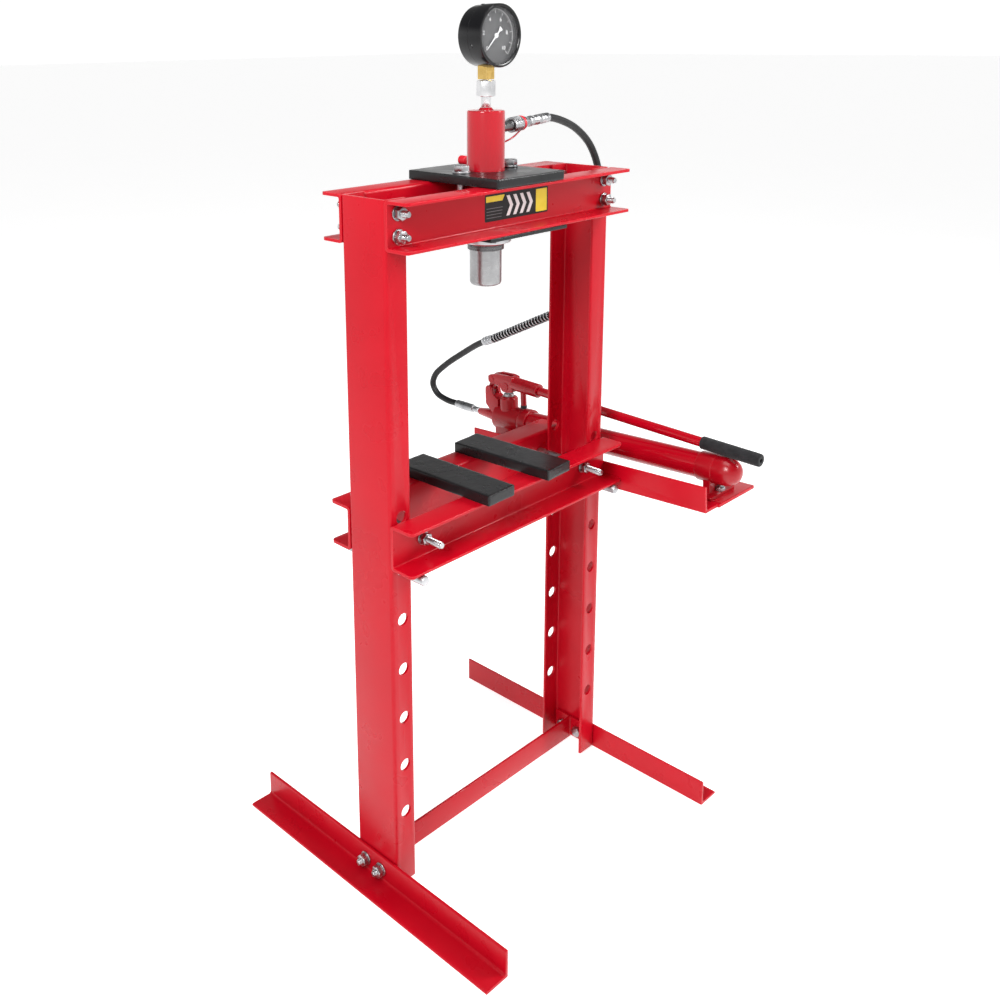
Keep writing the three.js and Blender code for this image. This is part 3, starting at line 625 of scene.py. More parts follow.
# -------- fasteners
FOOT_BOLT_Y = (-15.5, 23.5)
BEAM_BOLT_Z = (1151, 1187)
BED_BOLT_HALF = 55.3  # from the middle of the bed to the outer face of its beams
PUMP_BOLT_Y = (-25, 25)
SPANNER_TURNS = (12, 47, 5, 33, 20, 52, 8, 41, 26, 3, 55, 17, 38, 9, 49, 28)


def hexagon(flats, z0, z1):
    """Hexagonal prism with the turned chamfer that rounds a nut's corners."""
    corner = flats / 2 / cos(pi / 6)
    outline = [(corner * cos(pi / 3 * k), corner * sin(pi / 3 * k)) for k in range(6)]
    flat = flats / 2 * 0.97
    rise, wide = (corner - flat) * 0.55, corner + 0.6
    cone = turned([(0, z0), (flat, z0), (wide, z0 + rise + 0.3), (wide, z1 - rise - 0.3), (flat, z1), (0, z1)])
    return combine(prism(outline, z0, z1), [cone], "INTERSECT")


def thread(r, z0, z1, pitch):
    """Threaded rod with its ridges turned at the real pitch."""
    root, chamfer = r - pitch * 0.5, 1.0
    profile = [(0, z0), (root, z0)]
    z = z0
    while z + pitch < z1 - chamfer:
        profile += [(root, z + 0.12 * pitch), (r, z + 0.45 * pitch), (r, z + 0.6 * pitch), (root, z + 0.93 * pitch)]
        z += pitch
    profile += [(root, z1 - chamfer), (root - 0.5, z1), (0, z1)]
    return turned(profile, 40)


def washer(r, hole_r, z0, z1):
    e = min(0.5, (z1 - z0) / 3)
    return turned([(hole_r, z0), (r - e, z0), (r, z0 + e), (r, z1 - e), (r - e, z1), (hole_r, z1)], 48, closed=True)


def bolt_mesh(grip, tail, r=6, flats=19, head=8, washer_r=12, nut_washer=True, head_washer=0, pitch=1.75):
    """Bolt, washer and nut on +Z: the head bears at 0 and the clamped pieces end at grip."""
    gap = 0.3
    nut_from = grip + gap + (2.5 if nut_washer else 0)
    nut_to = nut_from + 1.7 * r
    head_top = -gap - head_washer
    end = nut_from + 1.6 * r + tail
    parts = [
        hexagon(flats, head_top - head, head_top),
        turned([(0, head_top - 1), (r - 0.2, head_top - 1), (r - 0.2, nut_from + 0.2), (0, nut_from + 0.2)], 40),
        hexagon(flats, nut_from + (0.2 if nut_washer else 0), nut_to),
        thread(r - 0.15, nut_to - 2.5, end, pitch),
    ]
    if nut_washer:
        parts.append(washer(washer_r, r + 0.1, grip + gap, nut_from))
    if head_washer:
        parts.append(washer(washer_r, r + 0.1, -gap - head_washer, -gap))
    return joined(*parts)


def fastener(name, mesh, where, turn, body="frame"):
    shown(name, mesh, ZINC, body, bevel=0.25, segments=2, smooth=34, where=where @ spun(turn))


def make_fasteners():
    turns = iter(SPANNER_TURNS)
    for side, s in SIDES:
        mirror = MIRROR_X if s < 0 else Matrix()
        for k, y in enumerate(FOOT_BOLT_Y):
            fastener(f"{side}_foot_bolt_{k + 1}", bolt_mesh(15.6, 7), mirror @ at(269.7, y, 25) @ ALONG_X, next(turns))
        for face, f in FACES:
            flip = MIRROR_Y if f < 0 else Matrix()
            for level, z in zip(("lower", "upper"), BEAM_BOLT_Z):
                fastener(f"{face}_{side}_bolt_{level}", bolt_mesh(10.3, 13),
                    flip @ at(s * 258, 45, z) @ ALONG_Y, next(turns))
        fastener(f"{side}_plate_bolt", bolt_mesh(100.6, 5, 8, 24, 10, 15, False, 3, 2.0),
            at(s * 60, 0, TOP_PLATE[1]) @ UPSIDE_DOWN, next(turns))
        spacer = turned([(0, 5.3), (9.6, 5.3), (10, 5.7), (10, 104.9), (9.6, 105.3), (0, 105.3)], 48)
        fastener(f"{side}_bed_bolt", joined(bolt_mesh(2 * BED_BOLT_HALF, 33, head_washer=2.5), spacer),
            at(s * 213, BED_BOLT_HALF, 642.6) @ AGAINST_Y, next(turns), "bed")


# -------- frame
HALF_WIDTH = 280.0
WALL = 5.0
PIN_HOLE_X = 255
PIN_HOLE_Z = [144 + 91 * k for k in range(7)]
BED_PIN_Z = 596.8
TOP_PLATE = (1208.3, 1224.3)
LOWER_PLATE = (1123.7, 1129.7)
PRESS_PLATE = (683.9, 702.9)
UPPER_BEAM_Z, BED_BEAM_Z = 1130, 605.6
ANGLE_OUTLINE = rounded([(0, 0, 1.5), (50, 0, 1), (50, 5, 3), (5, 5, 5), (5, 50, 3), (0, 50, 1)])  # 50 x 50 x 5


def channel_outline(depth, flange):
    h, t = depth / 2, WALL
    return rounded([
        (-h, 0, 6), (h, 0, 6), (h, flange, 2), (h - t, flange, 0.8),
        (h - t, t, 3), (-h + t, t, 3), (-h + t, flange, 0.8), (-h, flange, 2),
    ])


def make_upright(side, s):
    """Made as the left one; the right one is its mirror image, drilled for the pump's tray too."""
    outline = [(p.y - HALF_WIDTH, p.x) for p in channel_outline(100, 45)]
    tools = [hole(11, -60, 60, at(-PIN_HOLE_X, 0, z) @ ALONG_Y, 48) for z in PIN_HOLE_Z]
    if s > 0:
        tools += [hole(7, -10, 10, MIRROR_X @ on_pump(0, y, 41) @ ALONG_X, 32) for y in PUMP_BOLT_Y]
    mesh = combine(prism(outline, 6, 1208), tools)
    if s > 0:
        mesh = moved(mesh, MIRROR_X)
    shown(f"{side}_upright", mesh, RED, bevel=0.7)


def make_foot(side, s):
    mesh = moved(prism(ANGLE_OUTLINE, -306, 306), at(280.3, 0, 0) @ FLAT_ALONG_Y)
    if s < 0:
        mesh = moved(mesh, MIRROR_X)
    shown(f"{side}_foot", mesh, RED, bevel=0.6)


def weld_bead(name, points, r):
    """Painted fillet weld: a low rippled cord along a joint."""
    mesh = swept(fine(points, 0.8), lambda s: r * (1 + 0.13 * sin(2 * pi * s / 3.4)))
    piece(name, mesh, CAST_RED)


def make_tie_bar():
    parts = [across(oblong(4, 9, 3, 49, 0.8, steps=2), -272.7, 272.7)]
    for s in (-1, 1):
        low, high = sorted((s * 269.7, s * 274.7))
        parts.append(across(oblong(-34, 42, 7, 49, 3), low, high))
    shown("base_tie_bar", joined(*parts), RED, bevel=0.6)
    for end, s in (("l", -1), ("r", 1)):
        for side, f in (("f", -1), ("b", 1)):
            weld_bead(f"tie_weld_{end}{side}", [Vector((s * 269.2, 6.5 + f * 3.0, 8 + 4 * k)) for k in range(11)], 1.7)


def make_beam(name, f, z0, body):
    """Channel with its web inside and its flanges cut round at the outer corners."""
    outline = [(p.y + 50.3, p.x + z0 + 39) for p in channel_outline(78, 50)]
    plan = oblong(-HALF_WIDTH, HALF_WIDTH, 49, 100.3, 0, 0, 9, 9, steps=8)
    mesh = combine(across(outline, -HALF_WIDTH, HALF_WIDTH), [prism(plan, z0 - 1, z0 + 79)], "INTERSECT")
    if f < 0:
        mesh = moved(mesh, MIRROR_Y)
    shown(name, mesh, RED, body, bevel=0.7)


def rough_cut(mesh, voxel, depth, seed):
    """Flame-cut plate: an even mesh whose faces wander slightly and whose edges wander more."""
    obj = linked("plate", mesh)
    low = Vector([min(v.co[k] for v in mesh.vertices) for k in range(3)])
    high = Vector([max(v.co[k] for v in mesh.vertices) for k in range(3)])
    mod = obj.modifiers.new("even", "REMESH")
    mod.mode = "VOXEL"
    mod.voxel_size = voxel
    mesh = settled(obj)
    bpy.data.objects.remove(obj)
    normals = [v.normal.copy() for v in mesh.vertices]  # all taken first: a moved vertex stales them
    for v, normal in zip(mesh.vertices, normals):
        p = v.co.copy()
        gaps = sorted(min(p[k] - low[k], high[k] - p[k]) for k in range(3))
        edge = max(0.0, 1 - gaps[1] / 4)
        wander = noise_at(p * 0.16 + Vector((seed, 0, 0))) * 0.6 + noise_at(p * 0.05 + Vector((0, seed, 0)))
        v.co = p - normal * (depth * (0.25 + edge) * (0.55 + 0.45 * max(-1, min(1, wander))))
    return mesh


def make_plates():
    top = combine(prism(oblong(-84, 84, -103, 103, 3), *TOP_PLATE), [hole(32.5, 1200, 1230, Matrix(), 64)])
    shown("cylinder_top_plate", rough_cut(top, 1.7, 0.5, 3.1), BLACK, smooth=60)
    low = combine(prism(oblong(-97, 97, -100, 100, 2), *LOWER_PLATE), [hole(32.5, 1100, 1135, Matrix(), 64)])
    shown("cylinder_lower_plate", low, BLACK, bevel=0.8)
    for side, x, yaw in (("left", -86.5, 1.5), ("right", 62.3, 3.6)):
        mesh = rough_cut(prism(oblong(-33.5, 33.5, -108.5, 108.5, 2), *PRESS_PLATE), 1.5, 0.7, x)
        shown(f"{side}_press_plate", mesh, BLACK, f"{side}_plate", smooth=60,
            where=at(x, -6.5, 0) @ spun(yaw))


def make_bed_pins():
    for side, s in SIDES:
        mesh = turned([
            (0, -105), (6.4, -105), (7.6, -104.6), (8.5, -103), (8.5, 103), (7.6, 104.6), (6.4, 105), (0, 105)])
        shown(f"{side}_bed_pin", mesh, ZINC, f"{side}_pin", where=at(s * PIN_HOLE_X, 0, BED_PIN_Z) @ ALONG_Y)


# -------- cylinder and ram
def make_cylinder():
    barrel = turned([
        (0, 1300), (28, 1300), (28, 1098.4), (30.4, 1098.4), (30.4, 1100), (32, 1101.6), (32, 1321.5),
        (31.6, 1323.2), (30.4, 1324.3), (29.6, 1324.5), (14, 1324.5), (13, 1324.9), (10, 1328.4), (9, 1329), (0, 1329),
    ], 96)
    shown("cylinder_barrel", barrel, CYLINDER_RED, smooth=30)
    lip = turned([
        (28, 1098.2), (28, 1089.5), (28.5, 1089), (30.9, 1089), (31.5, 1089.6), (31.5, 1092.6), (31, 1093),
        (31, 1093.6), (31.5, 1094), (31.5, 1096.9), (30.8, 1098.2)], 96, closed=True)
    piece("cylinder_lip", lip, DARK_STEEL, smooth=30)
    nut = turned([
        (32.5, 1123.4), (32.5, 1102), (41.6, 1102), (42.6, 1102.3), (43.4, 1103.2), (43.5, 1104), (43.5, 1122.6),
        (42.9, 1123.4)], 96, closed=True)
    notches = [moved(block(-4, 4, -3, 3, -6, 6), spun(a) @ at(44.5, 0, 1112)) for a in (-118, 2, 122)]
    shown("cylinder_ring_nut", combine(nut, notches), NUT_STEEL, bevel=0.3, segments=2, smooth=30)
    ram = turned([
        (0, 1026.9), (9, 1026.9), (9.6, 1026.5), (21, 1026.5), (23.4, 1026.9), (25.4, 1028.1), (26.9, 1030.2),
        (27.5, 1033), (27.5, 1284), (18, 1284), (18, 1046), (0, 1046),
    ], 96)
    shown("ram", ram, STEEL, "ram", smooth=30)


# -------- gauge
GAUGE_Z = 1445.6
GAUGE_AXIS = at(0, 0, GAUGE_Z) @ AGAINST_Y
DIAL_Y = -20.45
DIAL_FROM, DIAL_SWEEP = 225, -270  # degrees, counter-clockwise from the right as seen from the front


def make_gauge():
    case = moved(turned([
        (0, -20), (43, -20), (46.5, -19.4), (49, -17.2), (50, -13.5), (50, 3.6), (49.3, 4.2), (49.3, 5), (50.6, 5.2),
        (51.3, 6), (51.3, 30.6), (50.9, 32), (49.8, 33), (46.9, 33), (46, 32.6), (45.5, 31.8), (45.5, 30.3),
        (47.8, 30.3), (47.8, -17), (0, -17)], 128), GAUGE_AXIS)
    case = combine(case, [block(-10.4, 10.4, -10.4, 10.4, 1390, 1406)])
    shown("gauge_case", case, GAUGE_BLACK, smooth=26)
    screw = turned([(0, 0), (3.4, 0), (3.4, 1.2), (2.6, 2), (0, 2.3)], 32)
    piece("gauge_side_screw", screw, GAUGE_BLACK,
        where=at(-47.3, -12, 1429.5) @ spun(-109, "Y"))
    nub = turned([(0, 0), (4.2, 0), (4.2, 0.8), (3, 1.6), (0, 1.8)], 32)
    piece("gauge_fill_plug", nub, GAUGE_BLACK, where=at(0, 6, 1495.2))
    dial = turned([(0, 19.4), (47.4, 19.4), (47.6, 19.6), (47.6, 20.2), (47.4, 20.4), (0, 20.4)], 96)
    shown("gauge_dial", dial, DIAL, where=GAUGE_AXIS)
    lens = turned([(0, 27.9), (47.4, 27.9), (47.6, 28.2), (47.6, 29.6), (47.4, 29.9), (0, 30.2)], 96)
    shown("gauge_lens", lens, GLASS, where=GAUGE_AXIS)
    socket = prism(oblong(-10, 10, -10, 10, 0.6), 1375, 1414)
    stub = turned([(0, 1360), (5.2, 1360), (5.4, 1376), (0, 1376)], 32)
    shown("gauge_socket", joined(socket, stub), BRASS, bevel=0.5)
    turns = [radians(a) for a in range(-90, 146, 6)]
    arc = [Vector((33 * cos(a), 6, GAUGE_Z + 33 * sin(a))) for a in turns]
    piece("gauge_tube", swept(arc, lambda s: 3.2), BRASS)
    make_dial_marks()
    make_needle()
    stem = joined(
        turned([(0, 1316), (5.6, 1316), (5.6, 1329.6), (7.6, 1329.6), (8, 1330.2), (8, 1348), (0, 1348)], 56),
        turned([(0, 1358), (6.6, 1358), (6.6, 1374.4), (0, 1374.4)], 40))
    piece("gauge_adapter_stem", stem, CHROME, nodes=["gauge_adapter"])
    hexnut = moved(hexagon(27.7, 1347, 1373.5), spun(14))
    piece("gauge_adapter_hex", hexnut, CHROME, bevel=0.3, segments=2, smooth=34)


def dial_angle(share):
    return radians(DIAL_FROM + DIAL_SWEEP * share)


def on_dial(r, share, y=DIAL_Y):
    a = dial_angle(share)
    return Vector((r * cos(a), y, GAUGE_Z + r * sin(a)))


def slab(corners, y0=DIAL_Y, thick=0.25):
    """A thin plate facing -Y from corners given in x and z."""
    front = [Vector((c.x, y0 - thick, c.z)) for c in corners]
    back = [Vector((c.x, y0, c.z)) for c in corners]
    n = len(corners)
    faces = [list(range(n)), list(range(n, 2 * n))[::-1]]
    faces += [[i, n + i, n + (i + 1) % n, (i + 1) % n] for i in range(n)]
    return solid(mesh_from(front + back, faces))


def make_dial_marks():
    """Ticks, their arc and plain numbers, raised a hair off the dial."""
    parts = []
    for k in range(51):
        r0, half = (38.9, 0.2) if k % 5 else (35.5, 0.45)
        a = dial_angle(k / 50)
        out, side = Vector((cos(a), 0, sin(a))), Vector((-sin(a), 0, cos(a)))
        corners = ((r0, -half), (42.2, -half), (42.2, half), (r0, half))
        parts.append(slab([Vector((0, 0, GAUGE_Z)) + out * r + side * w for r, w in corners]))
    arc = [on_dial(42.3, k / 90, 0) for k in range(91)] + [on_dial(42.9, k / 90, 0) for k in range(90, -1, -1)]
    parts.append(slab(arc))
    piece("gauge_scale", joined(*parts), DIAL_WHITE)
    for k in range(0, 11, 2):
        text = bpy.data.curves.new(f"number_{k}", "FONT")
        text.body = str(k)
        text.size = 0.0095
        text.extrude = 0.00012
        text.align_x = "CENTER"
        text.align_y = "CENTER"
        obj = linked(f"dial_number_{k}", text)
        obj.matrix_world = Matrix.Translation(place(*on_dial(28.5, k / 10, DIAL_Y - 0.12))) @ AGAINST_Y
        attach(obj, DIAL_WHITE, "frame", [])


def make_needle():
    blade = rounded([(-1.5, 0, 0), (-0.35, 33, 0), (0.35, 33, 0), (1.5, 0, 0), (1.3, -10, 0), (4.6, -17, 0.6),
        (-4.6, -17, 0.6), (-1.3, -10, 0)], 3)
    hub = turned([(0, -1), (4, -1), (4, 0.9), (3.4, 1.4), (0, 1.6)], 40)
    pin = turned([(0, -13.5), (1.5, -13.5), (1.5, 1), (0, 1)], 24)
    shown("gauge_needle", joined(prism(blade, -0.35, 0.35), hub, pin), DIAL_WHITE, "needle",
        where=at(0, -23, GAUGE_Z) @ spun(-135, "Y") @ AGAINST_Y)


# -------- coupler and the hose's top fitting
def ribbon(line, half_width, half_thick):
    """A flat rubber strap along a line."""
    verts, n = [], 12
    for i, p in enumerate(line):
        ahead = along(line, i)
        side = ahead.cross(Vector((0, 0, 1))).normalized()
        up = side.cross(ahead)
        for k in range(n):
            a = 2 * pi * k / n
            verts.append(p + side * half_thick * sin(a) * 1.2 + up * half_width * cos(a) * 0.5)
    return skin(verts, n)


def make_coupler():
    """Pieces on the port's axis, with z as the distance from the ram's axis."""
    where = at(0, 0, PORT_Z) @ Vector((0, 0, 1)).rotation_difference(PORT_DIRECTION).to_matrix().to_4x4()
    nipple = turned([
        (0, 28.9), (8, 28.9), (8, 34), (10.4, 34), (11, 34.6), (11, 43.4), (10.4, 44), (9.6, 44.4), (9.4, 45.4),
        (9.4, 71.2), (9, 71.6), (5.5, 71.6), (5.5, 84), (0, 84)], 56)
    shown("coupler_nipple", nipple, DARK_STEEL, where=where, smooth=30)
    ridges = []
    z = 75.0
    while z < 96:
        ridges += [(13.2, z), (12.75, z + 0.5), (12.75, z + 0.9), (13.2, z + 1.4)]
        z += 2.4
    collar = turned([
        (10.2, 72.6), (12.2, 72.6), (13, 73.4), *ridges, (13.2, 98.4), (12.6, 99.6), (12, 100), (10.2, 100)],
        72, closed=True)
    shown("coupler_collar", collar, ZINC, "collar", where=where, smooth=30)
    band = moved(turned([
        (9.5, 100.5), (12.2, 100.5), (13, 102.2), (13.2, 104), (13, 105.8), (12.2, 107.3), (9.5, 107.3)],
        56, closed=True), where)
    strap = ribbon(smooth_route([(103.2, 12.4, 1283.5), (84, 12, 1273), (64, 14, 1266), (52, 34, 1256), (40, 60, 1245),
        (28, 72, 1236)], 7), 3.0, 1.1)
    plug = moved(turned([(0, 0), (6.8, 0), (7.8, 0.9), (8, 2.4), (8, 13.6), (7.7, 15.3), (6.8, 16), (0, 16)], 48),
        at(24, 66, 1233.5) @ ALONG_Y)
    piece("dust_cap_shown", joined(band, strap, plug), CAP, nodes=["coupler_dust_cap"], smooth=50)
    fitting = turned([
        (0, 84.6), (5.2, 84.6), (5.2, 86), (9.6, 86), (9.6, 99.8), (9, 100), (9, 108), (10.6, 108.2),
        (11, 108.7), (11, 112.4), (10.6, 113.2), (8.9, 120.8), (8.6, 121.8), (8.6, 127.6), (0, 127.6)], 64)
    hexnut = hexagon(16.3, 127.4, 139.6)
    crimp = turned([
        (0, 139), (7.4, 139), (8.1, 140.2), (8.6, 143), (8.6, 152), (9.1, 153.2), (9.2, 157), (9.2, 163),
        (8.8, 164.2), (9.2, 165.6), (9.2, 172), (8.8, 173.2), (9.2, 174.6), (9.2, 181), (8.9, 182.2), (9.1, 184),
        (8.9, 189.8), (8.6, 190.4), (7.3, 190.4), (7.3, 170), (0, 170)], 64)
    shown("hose_top_fitting", joined(fitting, hexnut, crimp), ZINC, bevel=0.15, segments=2, where=where, smooth=34)


# -------- hand pump, level in its tray's own frame
PUMP_ORIGIN = (HALF_WIDTH + 0.3, 0, 580.9)
PUMP_TILT = spun(-3, "X")
PUMP_X, PUMP_Z = 86.0, 54.5  # the reservoir's axis
PLUNGER_Y, PLUNGER_PIN_Z = 259.0, 128.8
LINK_PIN, HANDLE_PIN = (306.7, 118.3), (297, 140.8)  # (y, z)
HANDLE_REAR, HANDLE_FRONT = (238, 136.1), (-344, 90.5)  # (y, z) of the handle's axis
FOOT_BOLT = (95, -257)
SLOT_HALF = 6.4  # half the width of the fork's and lug's slots
FORK_HOLE_R = 8.2  # room for the plunger's pin as the link swings
CHEEK = 14  # half the width of the fork and the lug


def on_pump(x=0.0, y=0.0, z=0.0):
    return at(*PUMP_ORIGIN) @ PUMP_TILT @ at(x, y, z)


def handle_turn():
    slope = atan2(HANDLE_REAR[1] - HANDLE_FRONT[1], HANDLE_REAR[0] - HANDLE_FRONT[0])
    return Matrix.Rotation(slope, 4, "X")


def make_tray():
    angle = moved(prism(ANGLE_OUTLINE, -284, 286), FLAT_ALONG_Y)
    front = prism(oblong(40, 168, -288, -240, 0, 4, 4, 0), 0, WALL)
    rear = prism(oblong(40, 124, 238, 286, 0, 4, 4, 0), 0, WALL)
    mesh = combine(angle, [front, rear], "UNION")
    drilled = [hole(7, -3, 10, at(0, y, 41) @ ALONG_X, 32) for y in PUMP_BOLT_Y]
    mesh = combine(mesh, [*drilled, hole(5.8, -5, 10, at(*FOOT_BOLT, 0), 32), hole(4.2, -5, 10, at(58, -274, 0), 32)])
    shown("pump_bracket", mesh, RED, bevel=0.7, where=on_pump())
    for k, y in enumerate((-287, 239)):
        ends = Vector((50.6, y, 5.2)), Vector((50.6, y + 46, 5.2))
        weld_bead(f"tray_weld_{k + 1}", [on_pump() @ ends[0].lerp(ends[1], t / 12) for t in range(13)], 1.8)
    for k, y in enumerate(PUMP_BOLT_Y):
        fastener(f"bracket_bolt_{k + 1}", bolt_mesh(10.3, 5), on_pump(-5.3, y, 41) @ ALONG_X, 17 + 20 * k)
    small = bolt_mesh(10.3, 4, 5, 17, 6.5, 10, pitch=1.5)
    fastener("pump_foot_bolt", small, on_pump(*FOOT_BOLT, 10.3) @ UPSIDE_DOWN, 14)


def make_pump_body():
    axis = at(PUMP_X, 0, PUMP_Z) @ ALONG_Y
    tank = moved(turned([(0, -222), (24.6, -222), (25, -221.6), (25, 210.6), (24.6, 211), (0, 211)], 96), axis)
    shown("pump_reservoir", tank, CYLINDER_RED, where=on_pump(), smooth=30)
    cap = moved(turned([
        (0, 222.6), (26.6, 222.6), (27.6, 223), (28, 224), (28, 256.6), (27.5, 257.2), (27.5, 258.2), (28, 258.8),
        (28, 272), (27.7, 278), (26.9, 282.5), (25.3, 288), (22.7, 293.4), (19.2, 298.2), (15, 301.6), (10.6, 303.9),
        (5.5, 305.2), (0, 305.5)], 96), at(PUMP_X, 0, PUMP_Z) @ AGAINST_Y)
    foot = prism(oblong(45, 131, -236, -267, 2, 3, 3, 3), 5.3, 10.3)
    web = block(PUMP_X - 20, PUMP_X + 20, -252, -238, 10, PUMP_Z - 15)
    cap = combine(combine(cap, [web, foot], "UNION"), [
        hole(11.5, 10.3, 24, at(*FOOT_BOLT, 0), 40), hole(5.8, 0, 20, at(*FOOT_BOLT, 0), 32),
        moved(block(-6, 6, -9, 9, -2, 4), at(PUMP_X, -288, PUMP_Z + 25.3) @ Matrix.Rotation(0.42, 4, "X"))])
    shown("pump_end_cap", cap, CAST_RED, bevel=0.8, where=on_pump(), smooth=36)
    body = moved(turned([
        (0, 195), (28.6, 195), (29.6, 195.5), (30, 196.6), (30, 214.4), (29.6, 215.5), (28.6, 216), (26.8, 216.6),
        (26.8, 218.4), (28, 219.2), (28, 285.5), (27.4, 288), (25.6, 289), (15.4, 289.6), (14.4, 291), (14, 300),
        (7.8, 347), (7, 348), (0, 348)], 80), axis)
    boss = moved(turned([(0, PUMP_Z), (20, PUMP_Z), (20, 100.4), (19.5, 101.6), (18.4, 102), (0, 102)], 72),
        at(PUMP_X, PLUNGER_Y, 0))
    base = prism(oblong(PUMP_X - 22, PUMP_X + 22, 240, 284, 3), 5.3, PUMP_Z)
    lug = across(rounded([(282, 58, 0), (300, 66, 6), (316, 82, 6), (316, 110, 0), (315, 124, 8), (299, 124, 8),
        (294, 104, 4), (280, 96, 0)]), PUMP_X - CHEEK, PUMP_X + CHEEK)
    body = combine(combine(body, [boss, base, lug], "UNION"), [
        block(PUMP_X - SLOT_HALF, PUMP_X + SLOT_HALF, 286, 330, 104, 140),
        hole(11.4, 62, 110, at(PUMP_X, PLUNGER_Y, 0)),
        hole(25.4, 190, 212, axis, 96),
        hole(7, 328, 355, axis),
    ])
    shown("pump_head", body, CAST_RED, bevel=0.9, where=on_pump(), smooth=36)


def cross_pin(name, r, head_r, at_yz, body):
    """Pin along x with a head and a clip ring outside the fork's cheeks."""
    half = 15.5
    mesh = turned([(0, -half), (r - 0.5, -half), (r, -half + 0.6), (r, half - 0.6), (r - 0.5, half), (0, half)], 36)
    rings = [washer(head_r, r + 0.05, low, low + 1.1) for low in (14.15, -15.25)]
    piece(name, moved(joined(mesh, *rings), at(PUMP_X, *at_yz) @ ALONG_X), CAST_RED, body, where=on_pump())


def make_pump_linkage():
    above = at(PUMP_X, PLUNGER_Y, 0)
    rod = turned([(0, 78), (10.6, 78), (11, 78.5), (11, 111.2), (10.3, 112), (0, 112)], 64)
    tongue = across(rounded([(-7, 104.8, 0), (7, 104.8, 0), (7, 128.8, 6.9), (7, 135.8, 6.9), (-7, 135.8, 6.9),
        (-7, 128.8, 0)]), -6, 6)
    shown("pump_plunger", moved(joined(rod, tongue), above), STEEL, "plunger", bevel=0.3, segments=2, where=on_pump())
    cross_pin("plunger_pin", 4, 9.3, (PLUNGER_Y, PLUNGER_PIN_Z), "plunger")
    gland = turned([(11.3, 101.9), (17.4, 101.9), (18, 102.4), (17.2, 104.4), (14.6, 105.6), (11.3, 105.8)], 56,
        closed=True)
    piece("plunger_gland", moved(gland, above), CAST_RED, where=on_pump())
    a, b = Vector(LINK_PIN), Vector(HANDLE_PIN)
    tilt = atan2(a.x - b.x, b.y - a.y)
    bar = across(oblong(-6.5, 6.5, -6.5, (b - a).length + 6.5, 6.4, steps=8), -5.9, 5.9)
    bar = moved(bar, at(PUMP_X, *a) @ Matrix.Rotation(tilt, 4, "X"))
    shown("pump_link", bar, CAST_RED, "link", bevel=0.8, where=on_pump())
    for k, spot in enumerate((a, b)):
        cross_pin(f"link_pin_{k + 1}", 4.1, 6.6, spot, "link")


def make_handle():
    """The fork and socket lie about x = 0 until they're placed."""
    fork = across(rounded([(306, 133, 6), (306, 149, 6), (284, 154, 6), (252, 154, 6), (238, 151, 2), (238, 119, 2),
        (252, 117, 8), (266, 117, 8), (274, 130, 6)]), -CHEEK, CHEEK)
    line = at(0, *HANDLE_REAR) @ handle_turn() @ AGAINST_Y
    socket = moved(turned([(0, -6), (15, -6), (15, 64.8), (14.6, 65.7), (13.8, 66), (0, 66)], 72), line)
    post = moved(turned([(0, 91), (6.1, 91), (6.5, 91.6), (6.5, 130), (0, 130)], 48), at(0, 217, 0))
    mesh = combine(combine(fork, [socket, post], "UNION"), [
        block(-SLOT_HALF, SLOT_HALF, 246, 320, 100, 165),
        hole(4.6, -20, 20, at(0, *HANDLE_PIN) @ ALONG_X),
        hole(FORK_HOLE_R, -20, 20, at(0, PLUNGER_Y, PLUNGER_PIN_Z) @ ALONG_X),
        hole(9.9, 10, 70, line),
    ])
    shown("handle_socket", mesh, CAST_RED, "handle", bevel=0.8, where=on_pump(PUMP_X), smooth=36)
    tip = turned([(0, 85), (5.6, 85), (6.8, 85.6), (7.1, 87), (7.1, 91.6), (6.6, 92.2), (0, 92.2)], 48)
    piece("handle_stop_tip", tip, TIP, "handle", where=on_pump(PUMP_X, 217, 0))
    on_handle = on_pump(PUMP_X, *HANDLE_REAR) @ handle_turn() @ AGAINST_Y
    tube = turned([(7.6, 12), (9.2, 12), (9.5, 12.4), (9.5, 577.6), (9.2, 578), (7.6, 578)], 72, closed=True)
    shown("handle_tube", tube, CYLINDER_RED, "handle", where=on_handle, smooth=30)
    grip = turned([
        (9.9, 464), (10.9, 464), (11.8, 464.5), (12.3, 465.6), (12.4, 467), (12.4, 580), (12.2, 583), (11.6, 584.9),
        (10.4, 585.8), (8.8, 586), (4.6, 586), (4.1, 585.5), (4, 584.6), (4, 579), (9.9, 579)], 72, closed=True)
    shown("handle_grip", grip, FOAM, "handle", where=on_handle, smooth=40)


# -------- plain panel on the front beam
LABEL_Y = -55.32
INK = 0.12


def patch(name, corners, mat, lift=INK):
    points = [Vector((x, 0, z)) for x, z in (tuple(p) for p in corners)]
    piece("label_" + name, slab(points, LABEL_Y - lift, INK), mat)


def make_label():
    """Sticker with plain geometric shapes, nothing lettered."""
    patch("base", oblong(-63, 98, 1147.5, 1192.5, 3, steps=4), LABEL_BLACK, 0)
    patch("strip", rounded([(-60, 1180, 1), (-20, 1180, 1), (-14, 1189.5, 1), (-60, 1189.5, 1)], 4), LABEL_YELLOW)
    patch("panel", oblong(66, 95, 1150.5, 1189.5, 1, steps=4), LABEL_YELLOW)
    for k in range(4):
        z = 1153 + 5.2 * k
        patch(f"line_{k + 1}", oblong(-59, -22 + k, z, z + 1.3, 0), LABEL_GREY)
    for k in range(4):
        x = -10 + 17 * k
        patch(f"chevron_{k + 1}", rounded([(x, 1187, 0), (x + 8, 1187, 0), (x + 17, 1170, 0), (x + 8, 1153, 0),
            (x, 1153, 0), (x + 9, 1170, 0)]), LABEL_WHITE)


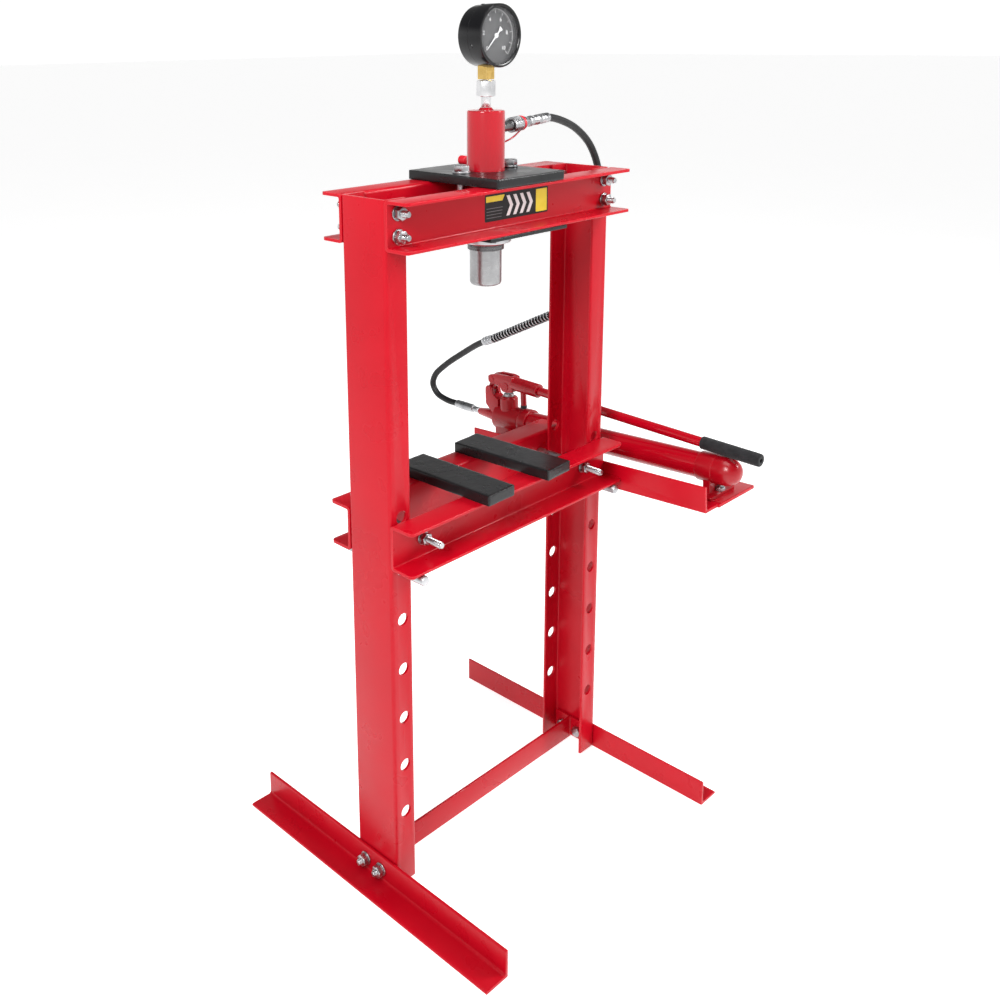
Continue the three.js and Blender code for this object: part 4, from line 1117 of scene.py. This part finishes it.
# -------- assembly
make_hose()
make_fasteners()
for side, s in SIDES:
    make_upright(side, s)
    make_foot(side, s)
make_tie_bar()
for face, f in FACES:
    make_beam(f"{face}_upper_beam", f, UPPER_BEAM_Z, "frame")
    make_beam(f"{face}_bed_beam", f, BED_BEAM_Z, "bed")
make_plates()
make_bed_pins()
make_cylinder()
make_gauge()
make_coupler()
make_tray()
make_pump_body()
make_pump_linkage()
make_handle()
make_label()

# The return spring keeps its CAD shape, which stretches with the ram, and only gets its finish.
for slot in bpy.data.objects["ram_return_spring"].material_slots:
    slot.material = SPRING

# -------- floor and light, in metres
FLOOR_HALF = 60
FLOOR_GLOW = 0.74  # what the floor gives off, so that it comes out as pale as the photograph's
HORIZON, SKY = 1.05, 0.18  # the world's strength near the horizon and above
SKY_SPAN = (0.16, 0.42)  # the z of the direction over which the one turns into the other


def make_floor():
    look = Finish("floor_white")
    look.set(Base_Color=look.drift(2, 2, (0.8, 0.8, 0.8), (0.82, 0.82, 0.82)), Roughness=0.9,
        Specular_IOR_Level=0.1, Emission_Color=(1, 1, 1, 1), Emission_Strength=FLOOR_GLOW)
    h = FLOOR_HALF
    mesh = mesh_from([(-h, -h, 0), (h, -h, 0), (h, h, 0), (-h, h, 0)], [(0, 1, 2, 3)])
    mesh.materials.append(look.mat)
    floor = linked("floor", mesh)
    floor.location.z = -0.0005


def make_sky():
    world = bpy.data.worlds.new("studio")
    scene.world = world
    world.use_nodes = True
    nodes, links = world.node_tree.nodes, world.node_tree.links
    coord = nodes.new("ShaderNodeTexCoord")
    split = nodes.new("ShaderNodeSeparateXYZ")
    fall = nodes.new("ShaderNodeMapRange")
    for name, value in zip(("From Min", "From Max", "To Min", "To Max"), (*SKY_SPAN, HORIZON, SKY)):
        fall.inputs[name].default_value = value
    links.new(coord.outputs["Generated"], split.inputs[0])
    links.new(split.outputs["Z"], fall.inputs[0])
    links.new(fall.outputs[0], nodes["Background"].inputs["Strength"])
    nodes["Background"].inputs["Color"].default_value = (1, 1, 1, 1)


def area_light(name, where, target, size, power):
    """A soft box of a (width, height), facing its target."""
    data = bpy.data.lights.new(name, "AREA")
    data.shape = "RECTANGLE"
    data.size, data.size_y = size
    data.energy = power
    where, target = Vector(where), Vector(target)
    turn = (target - where).to_track_quat("-Z", "Y").to_matrix().to_4x4()
    linked(name, data).matrix_world = Matrix.Translation(where) @ turn


make_floor()
make_sky()
area_light("left", (-2.5, -0.9, 2.8), (0, 0, 1.3), (0.9, 1.5), 98)
area_light("right", (2.0, -2.1, 2.8), (0, 0, 1.25), (0.8, 1.6), 98)
area_light("top", (0, -0.2, 3.4), (0, 0, 0.9), (1.6, 1.6), 34)
